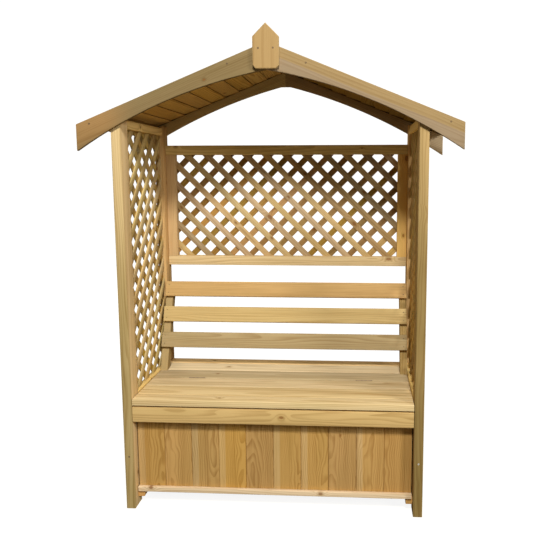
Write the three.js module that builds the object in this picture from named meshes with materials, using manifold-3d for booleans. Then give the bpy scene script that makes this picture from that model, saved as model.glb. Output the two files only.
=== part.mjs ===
// A storage arbour seat in pressure-treated softwood: two lattice sides on post legs, a trellis
// back above three back slats, a boxed-in bench with a hinged lid, and a boarded gable roof
// behind arched barge boards. Millimetres, +Z up, the sitter looks along -Y, and the origin is
// on the ground in the middle of the footprint.
import * as THREE from 'three';
import { mergeVertices } from 'three/addons/utils/BufferGeometryUtils.js';
import Module from 'manifold-3d';

const wasm = await Module();
wasm.setup();

// Fits
const PLAY = 0.3; // left between a piece and what it is cut to, laid on or turned against
const OVERRUN = 20; // how far a cutting solid runs past the piece it cuts
const ARRIS = 2; // flat planed off the long edges of the timber
const END_PLAY = 2; // left at each end of a board laid between the side frames

// Side frames
const WIDTH_OVER_POSTS = 1240;
const POST_FACE = 38;
const POST_DEPTH = 81;
const FRAME_DEPTH = 608;
const SIDE_RAIL_THICK = 28;
const SIDE_RAIL_HEIGHT = 34;
const SIDE_TOP_RAIL_DROP = 10; // below the inner edge of the post's sloping top
const MID_RAIL_PROUD = 7; // the mid rail shows this much above the seat

// Trellis
const LATH_WIDTH = 28;
const LATH_THICK = 7;
const LATH_GAP = 40.3;
const LATH_BED = 0.5; // the stapled laths bite this far into each other
const SIDE_LATH_SETBACK = 11;
const BACK_LATH_SETBACK = 20;
const SIDE_HOLE_SHARES = [0.977, 0.63]; // a hole's centre along and up, in shares of the hole spacing
const BACK_HOLE_SHARES = [0.639, 0.474];

// Back panel
const BACK_PANEL_THICK = 36;
const BACK_PANEL_INSET = 2; // its back stands this far inside the rear posts
const BACK_FRAME_WIDTH = 45;
const BACK_PANEL_DROP = 79; // from the side frames' top rails
const BACK_PANEL_RISE = 478; // above the seat

// Bench
const SEAT_HEIGHT = 480;
const SEAT_BOARD_THICK = 20;
const NOSING_WIDTH = 66;
const NOSING_THICK = 28;
const SEAT_BOARD_COUNT = 4; // of full width, two of them on the lid
const BOARD_GAP = 2;
const HINGE_GAP = 9;
const REAR_BOARD_GAP = 9;
const REAR_BOARD_WIDTH = 65;
const APRON_THICK = 18;
const APRON_HEIGHT = 64;
const APRON_GAP = 6;
const BEARER_SIZE = 28;
const HINGE_RAIL_HEIGHT = 45;
const HINGE_RAIL_SETBACK = 2; // behind the front edge of the fixed boards
const REAR_RAIL_HEIGHT = 35;
const LID_BATTEN_WIDTH = 45;
const LID_BATTEN_THICK = 20;
const LID_BATTEN_SPACING = 600;
const LID_BATTEN_FRONT_PLAY = 2; // behind the apron
const LID_BATTEN_REAR_SHORT = 8; // ahead of the hinge edge

// Box
const CLAD_THICK = 14;
const GROOVE_WIDTH = 5;
const GROOVE_DEPTH = 3;
const CLAD_END_GAP = 4;
const FRONT_BOARD_COUNT = 10;
const SIDE_BOARD_COUNT = 4;
const FLOOR_BOARD_COUNT = 5;
const BOX_FRONT_SETBACK = 44;
const FRONT_TOP_RAIL_HEIGHT = 45;
const FRONT_FOOT_RAIL_THICK = 16;
const FRONT_FOOT_RAIL_HEIGHT = 22;
const FLOOR_BEARER_HEIGHT = 26;
const FLOOR_BEARER_SETBACK = 37;
const GROUND_CLEARANCE = 36;
const BOX_REAR_INSET = 16; // the rear boards stand this far inside the posts' backs
const REAR_CLAD_DROP = 20; // and end this far below the seat boards

// Backrest
const RECLINE_DEGREES = 20.4;
const SUPPORT_FACE = 34;
const SUPPORT_DEPTH = 42;
const SUPPORT_FOOT_AHEAD = 147; // of the rear posts' front edge
const SUPPORT_LENGTH = 453;
const HEEL_FLAT = 14; // the support stands on this much of its foot
const HEEL_RISE = 17; // and is rounded up behind it
const HEEL_STEPS = 6;
const SLAT_WIDTH = 72;
const SLAT_THICK = 20;
const LOWEST_SLAT_RISE = 109; // up the support, from its foot to the lowest slat
const SLAT_PITCH = 122.4;

// Roof
const ROOF_DEGREES = 22;
const HALF_ROOF_WIDTH = 750;
const BARGE_APEX = 1900;
const BARGE_THICK = 18;
const BARGE_RISE = 15; // the barge boards' top edge stands this much above the board bed
const BARGE_EAVE_DEPTH = 103;
const BARGE_APEX_DEPTH = 104;
const BARGE_ARCH_RISE = 42;
const REAR_ARCH_EAVE_DEPTH = 92;
const REAR_ARCH_APEX_DEPTH = 70;
const REAR_ARCH_APEX_FLAT = 22;
const REAR_ARCH_RISE = 33;
const ARCH_STEPS = 14;
const RAFTER_THICK = 20;
const RAFTER_WIDTH = 38;
const RAFTER_EAVE_SHORT = 15;
const ROOF_BOARD_WIDTH = 100;
const ROOF_BOARD_THICK_EDGE = 9;
const ROOF_BOARD_THIN_EDGE = 4;
const ROOF_BOARD_EXPOSURE = 73;
const ROOF_FIRST_STEP = 22; // from the ridge down the slope to the first full board
const ROOF_REAR_OVERHANG = 50;
const ROOF_EAVE_SHORT = 6; // the roof boards stop this far inside the ends of the barge boards
const RIDGE_CAP_WIDTH = 46;
const RIDGE_CAP_EDGE = 8;
const RIDGE_CAP_HEIGHT = 16;

// Finial plate
const FINIAL_WIDTH = 100;
const FINIAL_THICK = 18;
const FINIAL_RISE = 64; // above the barge boards' apex
const FINIAL_HEIGHT = 167;
const FINIAL_CORNER = 12;

// Hinges
const HINGE_SPACING = 760;
const HINGE_LENGTH = 75;
const HINGE_LEAF_THICK = 2;
const HINGE_LEAF_HEIGHT = 18; // below the pin
const KNUCKLE_RADIUS = 3.5;
const KNUCKLE_COUNT = 5;
const PIN_DROP = 2; // from the seat's top face down to the middle of the pin
const PIN_RADIUS = 1.5;
const BARREL_SIDES = 24;

// Places worked out from the sizes above
const postOuter = WIDTH_OVER_POSTS / 2;
const postInner = postOuter - POST_FACE;
const bearerInner = postInner - BEARER_SIZE;
const openingFront = POST_DEPTH;
const openingBack = FRAME_DEPTH - POST_DEPTH;
const midRailTop = SEAT_HEIGHT + MID_RAIL_PROUD;
const midRailBottom = midRailTop - SIDE_RAIL_HEIGHT;
const boardBed = SEAT_HEIGHT - SEAT_BOARD_THICK;
const nosingBottom = SEAT_HEIGHT - NOSING_THICK;
const battenBottom = boardBed - LID_BATTEN_THICK;
const boardReach = postInner - END_PLAY;
const claddingReach = postInner - CLAD_END_GAP;
const boxBottom = GROUND_CLEARANCE + FLOOR_BEARER_HEIGHT;
const boxFrontInner = BOX_FRONT_SETBACK + CLAD_THICK;
const boxRearOuter = FRAME_DEPTH - BOX_REAR_INSET;
const boxRearInner = boxRearOuter - CLAD_THICK;
const backPanelRear = FRAME_DEPTH - BACK_PANEL_INSET;
const backPanelFront = backPanelRear - BACK_PANEL_THICK;
const seatGaps = 3 * BOARD_GAP + HINGE_GAP + REAR_BOARD_GAP;
const seatBoardWidth = (boxRearInner - NOSING_WIDTH - REAR_BOARD_WIDTH - seatGaps) / SEAT_BOARD_COUNT;
const lidEdge = NOSING_WIDTH + 2 * (BOARD_GAP + seatBoardWidth);
const fixedEdge = lidEdge + HINGE_GAP;
const roofPitch = THREE.MathUtils.degToRad(ROOF_DEGREES);
const recline = THREE.MathUtils.degToRad(RECLINE_DEGREES);
const bedApex = BARGE_APEX - BARGE_RISE;
const postTopDrop = (RAFTER_THICK + PLAY) / Math.cos(roofPitch);
const sideTopRailTop = bedApex - postInner * Math.tan(roofPitch) - postTopDrop - SIDE_TOP_RAIL_DROP;
const backPanelTop = sideTopRailTop - BACK_PANEL_DROP;
const backPanelBottom = SEAT_HEIGHT + BACK_PANEL_RISE;
const finialTop = BARGE_APEX + FINIAL_RISE;
const roofBack = FRAME_DEPTH + BARGE_THICK + ROOF_REAR_OVERHANG;
const frontmost = -BARGE_THICK - FINIAL_THICK;

const woods = {
  post: ['#b79f6b', 0.78],
  rail: ['#bd9a62', 0.78],
  lath: ['#a98b57', 0.82],
  frame: ['#8a6a3a', 0.8],
  slat: ['#cf9f61', 0.74],
  seat: ['#d3b183', 0.72],
  apron: ['#cfae6b', 0.74],
  cladding: ['#b98f50', 0.8],
  bearer: ['#d08a4a', 0.8],
  barge: ['#b49a67', 0.78],
  arch: ['#57401d', 0.85],
  roof: ['#7a5a26', 0.85],
  finial: ['#d2ae70', 0.74],
};

function finish([colour, roughness], metalness = 0) {
  return new THREE.MeshStandardMaterial({ color: colour, roughness, metalness });
}

const arbour = new THREE.Group();
arbour.position.y = -(frontmost + roofBack) / 2;

function addMesh(name, geometry, material, parent = arbour) {
  const mesh = new THREE.Mesh(geometry, material);
  mesh.name = name;
  parent.add(mesh);
  return mesh;
}

function solidOf(geometry) {
  const bare = new THREE.BufferGeometry();
  bare.setAttribute('position', geometry.getAttribute('position').clone());
  if (geometry.index) bare.setIndex(geometry.index.clone());
  const merged = mergeVertices(bare);
  const vertProperties = new Float32Array(merged.getAttribute('position').array);
  const triVerts = new Uint32Array(merged.index.array);
  return new wasm.Manifold(new wasm.Mesh({ numProp: 3, vertProperties, triVerts }));
}

function geometryOf(solid) {
  const mesh = solid.getMesh();
  const geometry = new THREE.BufferGeometry();
  geometry.setAttribute('position', new THREE.BufferAttribute(new Float32Array(mesh.vertProperties), 3));
  geometry.setIndex(new THREE.BufferAttribute(new Uint32Array(mesh.triVerts), 1));
  geometry.computeVertexNormals();
  return geometry;
}

// Bases that lay an extrusion's own x, y and z along the arbour's directions.
const across = new THREE.Vector3(1, 0, 0);
const inward = new THREE.Vector3(0, 1, 0);
const upward = new THREE.Vector3(0, 0, 1);
const alongX = new THREE.Matrix4().makeBasis(inward, upward, across);
const alongY = new THREE.Matrix4().makeBasis(upward, across, inward);
const faceUp = new THREE.Matrix4().makeBasis(inward, upward.clone().negate(), across.clone().negate());
const facingFront = new THREE.Matrix4().makeBasis(across, upward, inward.clone().negate());

function extrude(points, length, basis = null) {
  const shape = new THREE.Shape(points.map(([u, v]) => new THREE.Vector2(u, v)));
  const geometry = new THREE.ExtrudeGeometry(shape, { depth: length, bevelEnabled: false });
  return basis ? geometry.applyMatrix4(basis) : geometry;
}

// The planed section of a timber: a rectangle about the origin with its four corners eased.
function easedSection(width, height) {
  const [w, h] = [width / 2, height / 2];
  return [
    [-w + ARRIS, -h], [w - ARRIS, -h], [w, -h + ARRIS], [w, h - ARRIS],
    [w - ARRIS, h], [-w + ARRIS, h], [-w, h - ARRIS], [-w, -h + ARRIS],
  ];
}

// A straight timber between two opposite corners, with its long edges eased.
function timber(name, material, grain, [x0, x1], [y0, y1], [z0, z1], parent = arbour) {
  const size = { x: x1 - x0, y: y1 - y0, z: z1 - z0 };
  const section = { x: [size.y, size.z], y: [size.z, size.x], z: [size.x, size.y] }[grain];
  const basis = { x: alongX, y: alongY, z: null }[grain];
  const geometry = extrude(easedSection(...section), size[grain]);
  geometry.translate(0, 0, -size[grain] / 2);
  if (basis) geometry.applyMatrix4(basis);
  const mesh = addMesh(name, geometry, material, parent);
  mesh.position.set((x0 + x1) / 2, (y0 + y1) / 2, (z0 + z1) / 2);
  return mesh;
}

function sideSpan(side, inner, outer) {
  return side > 0 ? [inner, outer] : [-outer, -inner];
}

const sides = [[-1, 'left'], [1, 'right']];

function bedHeight(x) {
  return bedApex - Math.abs(x) * Math.tan(roofPitch);
}

// The posts carry the rafters on tops sawn to the roof's pitch.
function makePost(side, name, front) {
  const [x0, x1] = sideSpan(side, postInner, postOuter);
  const tall = bedHeight(postInner);
  const section = extrude(easedSection(POST_FACE, POST_DEPTH), tall);
  section.translate((x0 + x1) / 2, front + POST_DEPTH / 2, 0);
  const [near, far] = [x0 - OVERRUN, x1 + OVERRUN];
  const cut = extrude([
    [near, bedHeight(near) - postTopDrop], [far, bedHeight(far) - postTopDrop],
    [far, tall + OVERRUN], [near, tall + OVERRUN],
  ], POST_DEPTH + 2 * OVERRUN, facingFront);
  cut.translate(0, front + POST_DEPTH + OVERRUN, 0);
  addMesh(name, geometryOf(solidOf(section).subtract(solidOf(cut))), finish(woods.post));
}

// Two layers of laths at 45 degrees over a rectangle, cut to the rectangle. The layer on z = 0
// rises along x where firstLean is 1 and falls where it is -1.
function latticeSolid(width, height, [shareU, shareV], firstLean) {
  const spacing = (LATH_WIDTH + LATH_GAP) * Math.SQRT2;
  const [holeU, holeV] = [shareU * spacing, shareV * spacing];
  const reach = width + height;
  const count = Math.ceil(reach / spacing);
  const laths = [];
  for (const [layer, lean] of [[0, firstLean], [1, -firstLean]]) {
    const middle = layer * (LATH_THICK - LATH_BED) + LATH_THICK / 2;
    for (let i = -count; i <= count; i += 1) {
      const foot = holeU - lean * holeV + (i + 0.5) * spacing;
      const misses = lean > 0 ? foot < -height || foot > width : foot < 0 || foot > reach;
      if (misses) continue;
      const lath = new THREE.BoxGeometry(reach * 3, LATH_WIDTH, LATH_THICK);
      lath.rotateZ((lean * Math.PI) / 4).translate(foot, 0, middle);
      laths.push(solidOf(lath));
    }
  }
  const window = new THREE.BoxGeometry(width, height, LATH_THICK * 2 + OVERRUN);
  window.translate(width / 2, height / 2, LATH_THICK);
  return wasm.Manifold.union(laths).intersect(solidOf(window));
}

// A side frame: rails between the posts, trellis above the bench and boarding below it. Both
// frames carry the same trellis, turned about so that the same layer faces the sitter.
function makeSide(side, hand) {
  makePost(side, `front_post_${hand}`, 0);
  makePost(side, `rear_post_${hand}`, openingBack);
  const railX = sideSpan(side, postInner, postInner + SIDE_RAIL_THICK);
  const railY = [openingFront, openingBack];
  const topRailBottom = sideTopRailTop - SIDE_RAIL_HEIGHT;
  timber(`side_top_rail_${hand}`, finish(woods.rail), 'y', railX, railY, [topRailBottom, sideTopRailTop]);
  timber(`side_mid_rail_${hand}`, finish(woods.rail), 'y', railX, railY, [midRailBottom, midRailTop]);
  const wallLength = openingBack - openingFront - 2 * PLAY;
  const latticeHeight = topRailBottom - midRailTop - 2 * PLAY;
  const lattice = latticeSolid(wallLength, latticeHeight, SIDE_HOLE_SHARES, -1);
  const mesh = addMesh(`side_trellis_${hand}`, geometryOf(lattice).applyMatrix4(alongX), finish(woods.lath));
  mesh.rotation.z = side > 0 ? 0 : Math.PI;
  const wallStart = side > 0 ? openingFront + PLAY : openingBack - PLAY;
  mesh.position.set(side * (postInner + SIDE_LATH_SETBACK), wallStart, midRailTop + PLAY);
  const wall = boardedWall(wallLength, midRailBottom - GROUND_CLEARANCE, SIDE_BOARD_COUNT);
  const cladding = addMesh(`side_cladding_${hand}`, wall, finish(woods.cladding));
  cladding.rotation.z = (side * Math.PI) / 2;
  cladding.position.set(side * (postInner + CLAD_THICK), wallStart, GROUND_CLEARANCE);
}

// Tongued and grooved boards as one wall: the V-jointed face lies on y = 0 and the back behind it.
function boardedWall(length, height, count) {
  const cover = length / count;
  const outline = [[0, 0]];
  for (let i = 1; i < count; i += 1) {
    const joint = i * cover;
    outline.push([joint - GROOVE_WIDTH / 2, 0], [joint, GROOVE_DEPTH], [joint + GROOVE_WIDTH / 2, 0]);
  }
  outline.push([length, 0], [length, CLAD_THICK], [0, CLAD_THICK]);
  return extrude(outline, height);
}

function makeBox() {
  const width = 2 * claddingReach;
  const ends = [-claddingReach, claddingReach];
  const railTop = battenBottom - PLAY;
  const frontWall = boardedWall(width, railTop - boxBottom, FRONT_BOARD_COUNT);
  const front = addMesh('box_front_boards', frontWall, finish(woods.cladding));
  front.position.set(-claddingReach, BOX_FRONT_SETBACK, boxBottom);
  timber('box_front_top_rail', finish(woods.rail), 'x', ends, [APRON_THICK, BOX_FRONT_SETBACK],
    [railTop - FRONT_TOP_RAIL_HEIGHT, railTop]);
  timber('box_front_rail', finish(woods.apron), 'x', ends,
    [BOX_FRONT_SETBACK - FRONT_FOOT_RAIL_THICK, BOX_FRONT_SETBACK],
    [boxBottom, boxBottom + FRONT_FOOT_RAIL_HEIGHT]);
  const rearWall = boardedWall(width, boardBed - REAR_CLAD_DROP - boxBottom, FRONT_BOARD_COUNT);
  const rear = addMesh('box_rear_boards', rearWall, finish(woods.cladding));
  rear.rotation.z = Math.PI;
  rear.position.set(claddingReach, boxRearOuter, boxBottom);
  const span = [-bearerInner + PLAY, bearerInner - PLAY];
  const hingeRailFront = fixedEdge + HINGE_RAIL_SETBACK;
  timber('hinge_rail', finish(woods.rail), 'x', span,
    [hingeRailFront, hingeRailFront + BEARER_SIZE], [boardBed - HINGE_RAIL_HEIGHT, boardBed]);
  timber('box_rear_top_rail', finish(woods.rail), 'x', span,
    [boxRearInner - BEARER_SIZE, boxRearInner], [boardBed - REAR_RAIL_HEIGHT, boardBed]);
  const floorDepth = boxRearInner - boxFrontInner - 2 * PLAY;
  const floor = boardedWall(floorDepth, width, FLOOR_BOARD_COUNT).applyMatrix4(faceUp);
  const floorMesh = addMesh('box_floor', floor, finish(woods.cladding));
  floorMesh.position.set(claddingReach, boxFrontInner + PLAY, boxBottom + CLAD_THICK);
  for (const [side, hand] of sides) {
    const bearerX = sideSpan(side, bearerInner, postInner);
    timber(`floor_bearer_${hand}`, finish(woods.bearer), 'y', bearerX,
      [FLOOR_BEARER_SETBACK, FRAME_DEPTH], [GROUND_CLEARANCE, boxBottom]);
    timber(`seat_bearer_${hand}`, finish(woods.rail), 'y', bearerX,
      [NOSING_WIDTH + BOARD_GAP / 2, boxRearInner - PLAY], [boardBed - PLAY - BEARER_SIZE, boardBed - PLAY]);
  }
}

const lid = new THREE.Group();
arbour.add(lid);

// The outline of a batten that is notched at its front to pass under the thicker nosing.
function notchedBatten(front, back) {
  const notchEnd = NOSING_WIDTH + BOARD_GAP / 2;
  return [
    [front, battenBottom], [back, battenBottom], [back, boardBed],
    [notchEnd, boardBed], [notchEnd, nosingBottom], [front, nosingBottom],
  ];
}

function seatBoard(name, front, width, parent, thick = SEAT_BOARD_THICK) {
  timber(name, finish(woods.seat), 'x', [-boardReach, boardReach],
    [front, front + width], [SEAT_HEIGHT - thick, SEAT_HEIGHT], parent);
}

function makeSeat() {
  const firstLidBoard = NOSING_WIDTH + BOARD_GAP;
  seatBoard('lid_nosing', 0, NOSING_WIDTH, lid, NOSING_THICK);
  seatBoard('lid_board_front', firstLidBoard, seatBoardWidth, lid);
  seatBoard('lid_board_rear', firstLidBoard + seatBoardWidth + BOARD_GAP, seatBoardWidth, lid);
  const secondFixedBoard = fixedEdge + seatBoardWidth + BOARD_GAP;
  seatBoard('rear_seat_board_1', fixedEdge, seatBoardWidth, arbour);
  seatBoard('rear_seat_board_2', secondFixedBoard, seatBoardWidth, arbour);
  const lastFixedBoard = secondFixedBoard + seatBoardWidth + REAR_BOARD_GAP;
  seatBoard('rear_seat_board_3', lastFixedBoard, REAR_BOARD_WIDTH, arbour);
  const apronTop = nosingBottom - APRON_GAP;
  timber('seat_apron', finish(woods.apron), 'x', [-boardReach, boardReach],
    [0, APRON_THICK], [apronTop - APRON_HEIGHT, apronTop]);
  const outline = notchedBatten(APRON_THICK + LID_BATTEN_FRONT_PLAY, lidEdge - LID_BATTEN_REAR_SHORT);
  for (const [side, hand] of sides) {
    const batten = extrude(outline, LID_BATTEN_WIDTH, alongX);
    const mesh = addMesh(`lid_batten_${hand}`, batten, finish(woods.rail), lid);
    mesh.position.x = (side * LID_BATTEN_SPACING - LID_BATTEN_WIDTH) / 2;
  }
}

// A butt hinge in the joint behind the lid. The lid's leaf has the bored knuckles, and the fixed
// leaf carries the pin in its own.
function makeHinge(x, hand) {
  const share = HINGE_LENGTH / KNUCKLE_COUNT;
  const barrel = (radius, length, at) => solidOf(
    new THREE.CylinderGeometry(radius, radius, length, BARREL_SIDES).rotateZ(Math.PI / 2).translate(at, 0, 0),
  );
  for (const [direction, parent, name, first] of [[-1, lid, 'moving', 1], [1, arbour, 'fixed', 0]]) {
    const outer = (direction * HINGE_GAP) / 2;
    const inner = outer - direction * HINGE_LEAF_THICK;
    const leafTop = -KNUCKLE_RADIUS - PLAY;
    const leafHeight = HINGE_LEAF_HEIGHT + leafTop;
    const plate = new THREE.BoxGeometry(HINGE_LENGTH, HINGE_LEAF_THICK, leafHeight);
    plate.translate(0, (outer + inner) / 2, leafTop - leafHeight / 2);
    let leaf = solidOf(plate);
    for (let i = first; i < KNUCKLE_COUNT; i += 2) {
      const centre = (i + 0.5) * share - HINGE_LENGTH / 2;
      const tab = new THREE.BoxGeometry(share - PLAY, HINGE_LEAF_THICK, KNUCKLE_RADIUS * 2);
      tab.translate(centre, (outer + inner) / 2, leafTop);
      leaf = leaf.add(solidOf(tab)).add(barrel(KNUCKLE_RADIUS, share - PLAY, centre));
      const bridge = new THREE.BoxGeometry(share - PLAY, HINGE_GAP / 2, KNUCKLE_RADIUS);
      bridge.translate(centre, outer / 2, -KNUCKLE_RADIUS / 2);
      leaf = leaf.add(solidOf(bridge));
    }
    if (parent === lid) leaf = leaf.subtract(barrel(PIN_RADIUS + PLAY, HINGE_LENGTH + OVERRUN, 0));
    else leaf = leaf.add(barrel(PIN_RADIUS, HINGE_LENGTH, 0));
    const mesh = addMesh(`hinge_${name}_leaf_${hand}`, geometryOf(leaf), finish(['#8d8a84', 0.4], 1), parent);
    mesh.position.set(x, lidEdge + HINGE_GAP / 2, SEAT_HEIGHT - PIN_DROP);
  }
}

// The side outline of a back support, leaning: u is how far back and v how far up its length.
// It stands on a short level flat and its heel is rounded up behind that.
function supportOutline() {
  const level = ([y, z]) => [
    y * Math.cos(recline) - z * Math.sin(recline), y * Math.sin(recline) + z * Math.cos(recline),
  ];
  const heelFront = level([HEEL_FLAT, 0]);
  const heelBack = [SUPPORT_DEPTH, (HEEL_RISE + SUPPORT_DEPTH * Math.sin(recline)) / Math.cos(recline)];
  const bend = new THREE.QuadraticBezierCurve(
    new THREE.Vector2(...heelFront),
    new THREE.Vector2(SUPPORT_DEPTH, SUPPORT_DEPTH * Math.tan(recline)),
    new THREE.Vector2(...heelBack),
  );
  const heel = bend.getPoints(HEEL_STEPS).map((point) => [point.x, point.y]);
  return [[0, 0], ...heel, [SUPPORT_DEPTH, SUPPORT_LENGTH], [0, SUPPORT_LENGTH]];
}

function makeBackrest() {
  const leaning = new THREE.Group();
  leaning.position.set(0, openingBack - SUPPORT_FOOT_AHEAD, SEAT_HEIGHT + PLAY);
  leaning.rotation.x = -recline;
  arbour.add(leaning);
  for (const [side, hand] of sides) {
    const [x0] = sideSpan(side, postInner - PLAY - SUPPORT_FACE, postInner - PLAY);
    const support = extrude(supportOutline(), SUPPORT_FACE, alongX);
    addMesh(`back_support_${hand}`, support, finish(woods.rail), leaning).position.x = x0;
  }
  for (const [i, place] of ['lower', 'middle', 'upper'].entries()) {
    const bottom = LOWEST_SLAT_RISE + i * SLAT_PITCH;
    timber(`back_slat_${place}`, finish(woods.slat), 'x', [-boardReach, boardReach],
      [-SLAT_THICK - PLAY, -PLAY], [bottom, bottom + SLAT_WIDTH], leaning);
  }
}

// The framed trellis panel between the rear posts.
function makeBackPanel() {
  const half = postInner - PLAY;
  const inner = half - BACK_FRAME_WIDTH;
  const latticeReach = inner - PLAY;
  const deep = [backPanelFront, backPanelRear];
  const openingTop = backPanelTop - BACK_FRAME_WIDTH;
  const openingBottom = backPanelBottom + BACK_FRAME_WIDTH;
  timber('back_top_rail', finish(woods.frame), 'x', [-half, half], deep, [openingTop, backPanelTop]);
  timber('back_bottom_rail', finish(woods.rail), 'x', [-half, half], deep,
    [backPanelBottom, openingBottom]);
  for (const [side, hand] of sides) {
    timber(`back_stile_${hand}`, finish(woods.rail), 'z', sideSpan(side, inner, half), deep,
      [openingBottom, openingTop]);
  }
  const latticeHeight = openingTop - openingBottom - 2 * PLAY;
  const lattice = latticeSolid(2 * latticeReach, latticeHeight, BACK_HOLE_SHARES, 1);
  const trellis = geometryOf(lattice).applyMatrix4(facingFront);
  const mesh = addMesh('back_trellis', trellis, finish(woods.lath));
  const latticeRear = backPanelFront + BACK_LATH_SETBACK + 2 * LATH_THICK - LATH_BED;
  mesh.position.set(-latticeReach, latticeRear, openingBottom + PLAY);
}

// Points of a circular arc from one point to another that bulges to its left by the rise.
function arcPoints([u0, v0], [u1, v1], rise, steps) {
  const chord = Math.hypot(u1 - u0, v1 - v0);
  const radius = (chord * chord) / (8 * rise) + rise / 2;
  const half = Math.asin(chord / 2 / radius);
  const [du, dv] = [(u1 - u0) / chord, (v1 - v0) / chord];
  return Array.from({ length: steps + 1 }, (_, i) => {
    const angle = half * ((2 * i) / steps - 1);
    const along = chord / 2 + radius * Math.sin(angle);
    const out = radius * (Math.cos(angle) - Math.cos(half));
    return [u0 + du * along - dv * out, v0 + dv * along + du * out];
  });
}

// Half of an arched gable board: straight on top and arched below, with a level stretch next to
// the mitre where the arch stops short of it.
function archOutline(side, apex, eaveDepth, apexDepth, flat, rise) {
  const eaveTop = apex - HALF_ROOF_WIDTH * Math.tan(roofPitch);
  const mitre = PLAY / 2;
  const start = Math.max(flat, mitre);
  const arch = arcPoints([start, apex - apexDepth], [HALF_ROOF_WIDTH, eaveTop - eaveDepth], rise, ARCH_STEPS);
  const level = start > mitre ? [[mitre, apex - apexDepth]] : [];
  const points = [...level, ...arch, [HALF_ROOF_WIDTH, eaveTop], [mitre, apex - mitre * Math.tan(roofPitch)]];
  return points.map(([x, z]) => [side * x, z]);
}

function makeGables() {
  for (const [side, hand] of sides) {
    const barge = archOutline(side, BARGE_APEX, BARGE_EAVE_DEPTH, BARGE_APEX_DEPTH, 0, BARGE_ARCH_RISE);
    addMesh(`barge_board_${hand}`, extrude(barge, BARGE_THICK, facingFront), finish(woods.barge));
    const arch = archOutline(side, bedApex - PLAY, REAR_ARCH_EAVE_DEPTH, REAR_ARCH_APEX_DEPTH,
      REAR_ARCH_APEX_FLAT, REAR_ARCH_RISE);
    const rear = addMesh(`rear_arch_${hand}`, extrude(arch, BARGE_THICK, facingFront), finish(woods.arch));
    rear.position.y = FRAME_DEPTH + BARGE_THICK;
  }
  const half = FINIAL_WIDTH / 2;
  const [low, high] = [finialTop - FINIAL_HEIGHT, finialTop - half];
  const plate = [
    [-half + FINIAL_CORNER, low], [half - FINIAL_CORNER, low], [half, low + FINIAL_CORNER],
    [half, high], [0, finialTop], [-half, high], [-half, low + FINIAL_CORNER],
  ];
  const finial = addMesh('finial_plate', extrude(plate, FINIAL_THICK, facingFront), finish(woods.finial));
  finial.position.y = -BARGE_THICK;
}

// A point of the roof's section: s runs down the slope from the ridge and n stands off the bed.
function roofPoint(side, s, n) {
  const x = s * Math.cos(roofPitch) + n * Math.sin(roofPitch);
  return [side * x, bedApex - s * Math.sin(roofPitch) + n * Math.cos(roofPitch)];
}

const taper = (ROOF_BOARD_THICK_EDGE - ROOF_BOARD_THIN_EDGE) / ROOF_BOARD_WIDTH;
const lap = ROOF_BOARD_WIDTH - ROOF_BOARD_EXPOSURE;
const lift = (ROOF_BOARD_THIN_EDGE + taper * lap) / ROOF_BOARD_EXPOSURE;
const eaveReach = (HALF_ROOF_WIDTH - ROOF_EAVE_SHORT) / Math.cos(roofPitch);

function boardTop(start, s) {
  return lift * (s - start) + ROOF_BOARD_THIN_EDGE + taper * (s - start);
}

// Featheredge boards lapped down one slope. Each lies with its thin top edge on the bed and its
// thick lower edge on the board below, so both faces of the roof are stepped.
function roofOutline(side) {
  const starts = [];
  const topmost = ROOF_FIRST_STEP - ROOF_BOARD_EXPOSURE;
  for (let s = topmost; s < eaveReach - lap; s += ROOF_BOARD_EXPOSURE) starts.push(s);
  const under = [[PLAY, lift * (PLAY - starts[0])]];
  for (const s of starts.slice(1)) under.push([s, lift * ROOF_BOARD_EXPOSURE], [s, 0]);
  const last = starts[starts.length - 1];
  under.push([eaveReach, lift * (eaveReach - last)]);
  const over = [[PLAY, boardTop(starts[0], PLAY)]];
  for (let i = 0; i + 1 < starts.length; i += 1) {
    const end = starts[i] + ROOF_BOARD_WIDTH;
    if (end < eaveReach) over.push([end, boardTop(starts[i], end)], [end, boardTop(starts[i + 1], end)]);
  }
  over.push([eaveReach, boardTop(last, eaveReach)]);
  return [...under, ...over.reverse()].map(([s, n]) => roofPoint(side, s, n));
}

function makeRoof() {
  for (const [side, hand] of sides) {
    const boards = extrude(roofOutline(side), roofBack - PLAY, facingFront);
    addMesh(`roof_boards_${hand}`, boards, finish(woods.roof)).position.y = roofBack;
    const end = (HALF_ROOF_WIDTH - RAFTER_EAVE_SHORT) / Math.cos(roofPitch);
    const start = (RAFTER_THICK * Math.sin(roofPitch) + PLAY) / Math.cos(roofPitch);
    const rafter = [[start, -PLAY], [end, -PLAY], [end, -RAFTER_THICK], [start, -RAFTER_THICK]];
    const outline = rafter.map(([s, n]) => roofPoint(side, s, n));
    const batten = extrude(outline, RAFTER_WIDTH, facingFront);
    addMesh(`front_rafter_${hand}`, batten, finish(woods.rail)).position.y = RAFTER_WIDTH;
  }
  const half = RIDGE_CAP_WIDTH / 2;
  const [edgeX, edgeZ] = roofPoint(1, PLAY, boardTop(ROOF_FIRST_STEP - ROOF_BOARD_EXPOSURE, PLAY));
  const slope = Math.tan(roofPitch - Math.atan(lift + taper));
  const bed = (x) => edgeZ + PLAY - (x - edgeX) * slope;
  const cap = [
    [-half, bed(half)], [0, bed(0)], [half, bed(half)],
    [half, bed(half) + RIDGE_CAP_EDGE], [0, bed(0) + RIDGE_CAP_HEIGHT], [-half, bed(half) + RIDGE_CAP_EDGE],
  ];
  addMesh('ridge_cap', extrude(cap, roofBack - PLAY, facingFront), finish(woods.barge)).position.y = roofBack;
}

for (const [side, hand] of sides) makeSide(side, hand);
makeBackPanel();
makeBox();
makeSeat();
makeBackrest();
makeGables();
makeRoof();
for (const [side, hand] of sides) makeHinge((side * HINGE_SPACING) / 2, hand);

export default arbour;
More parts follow.
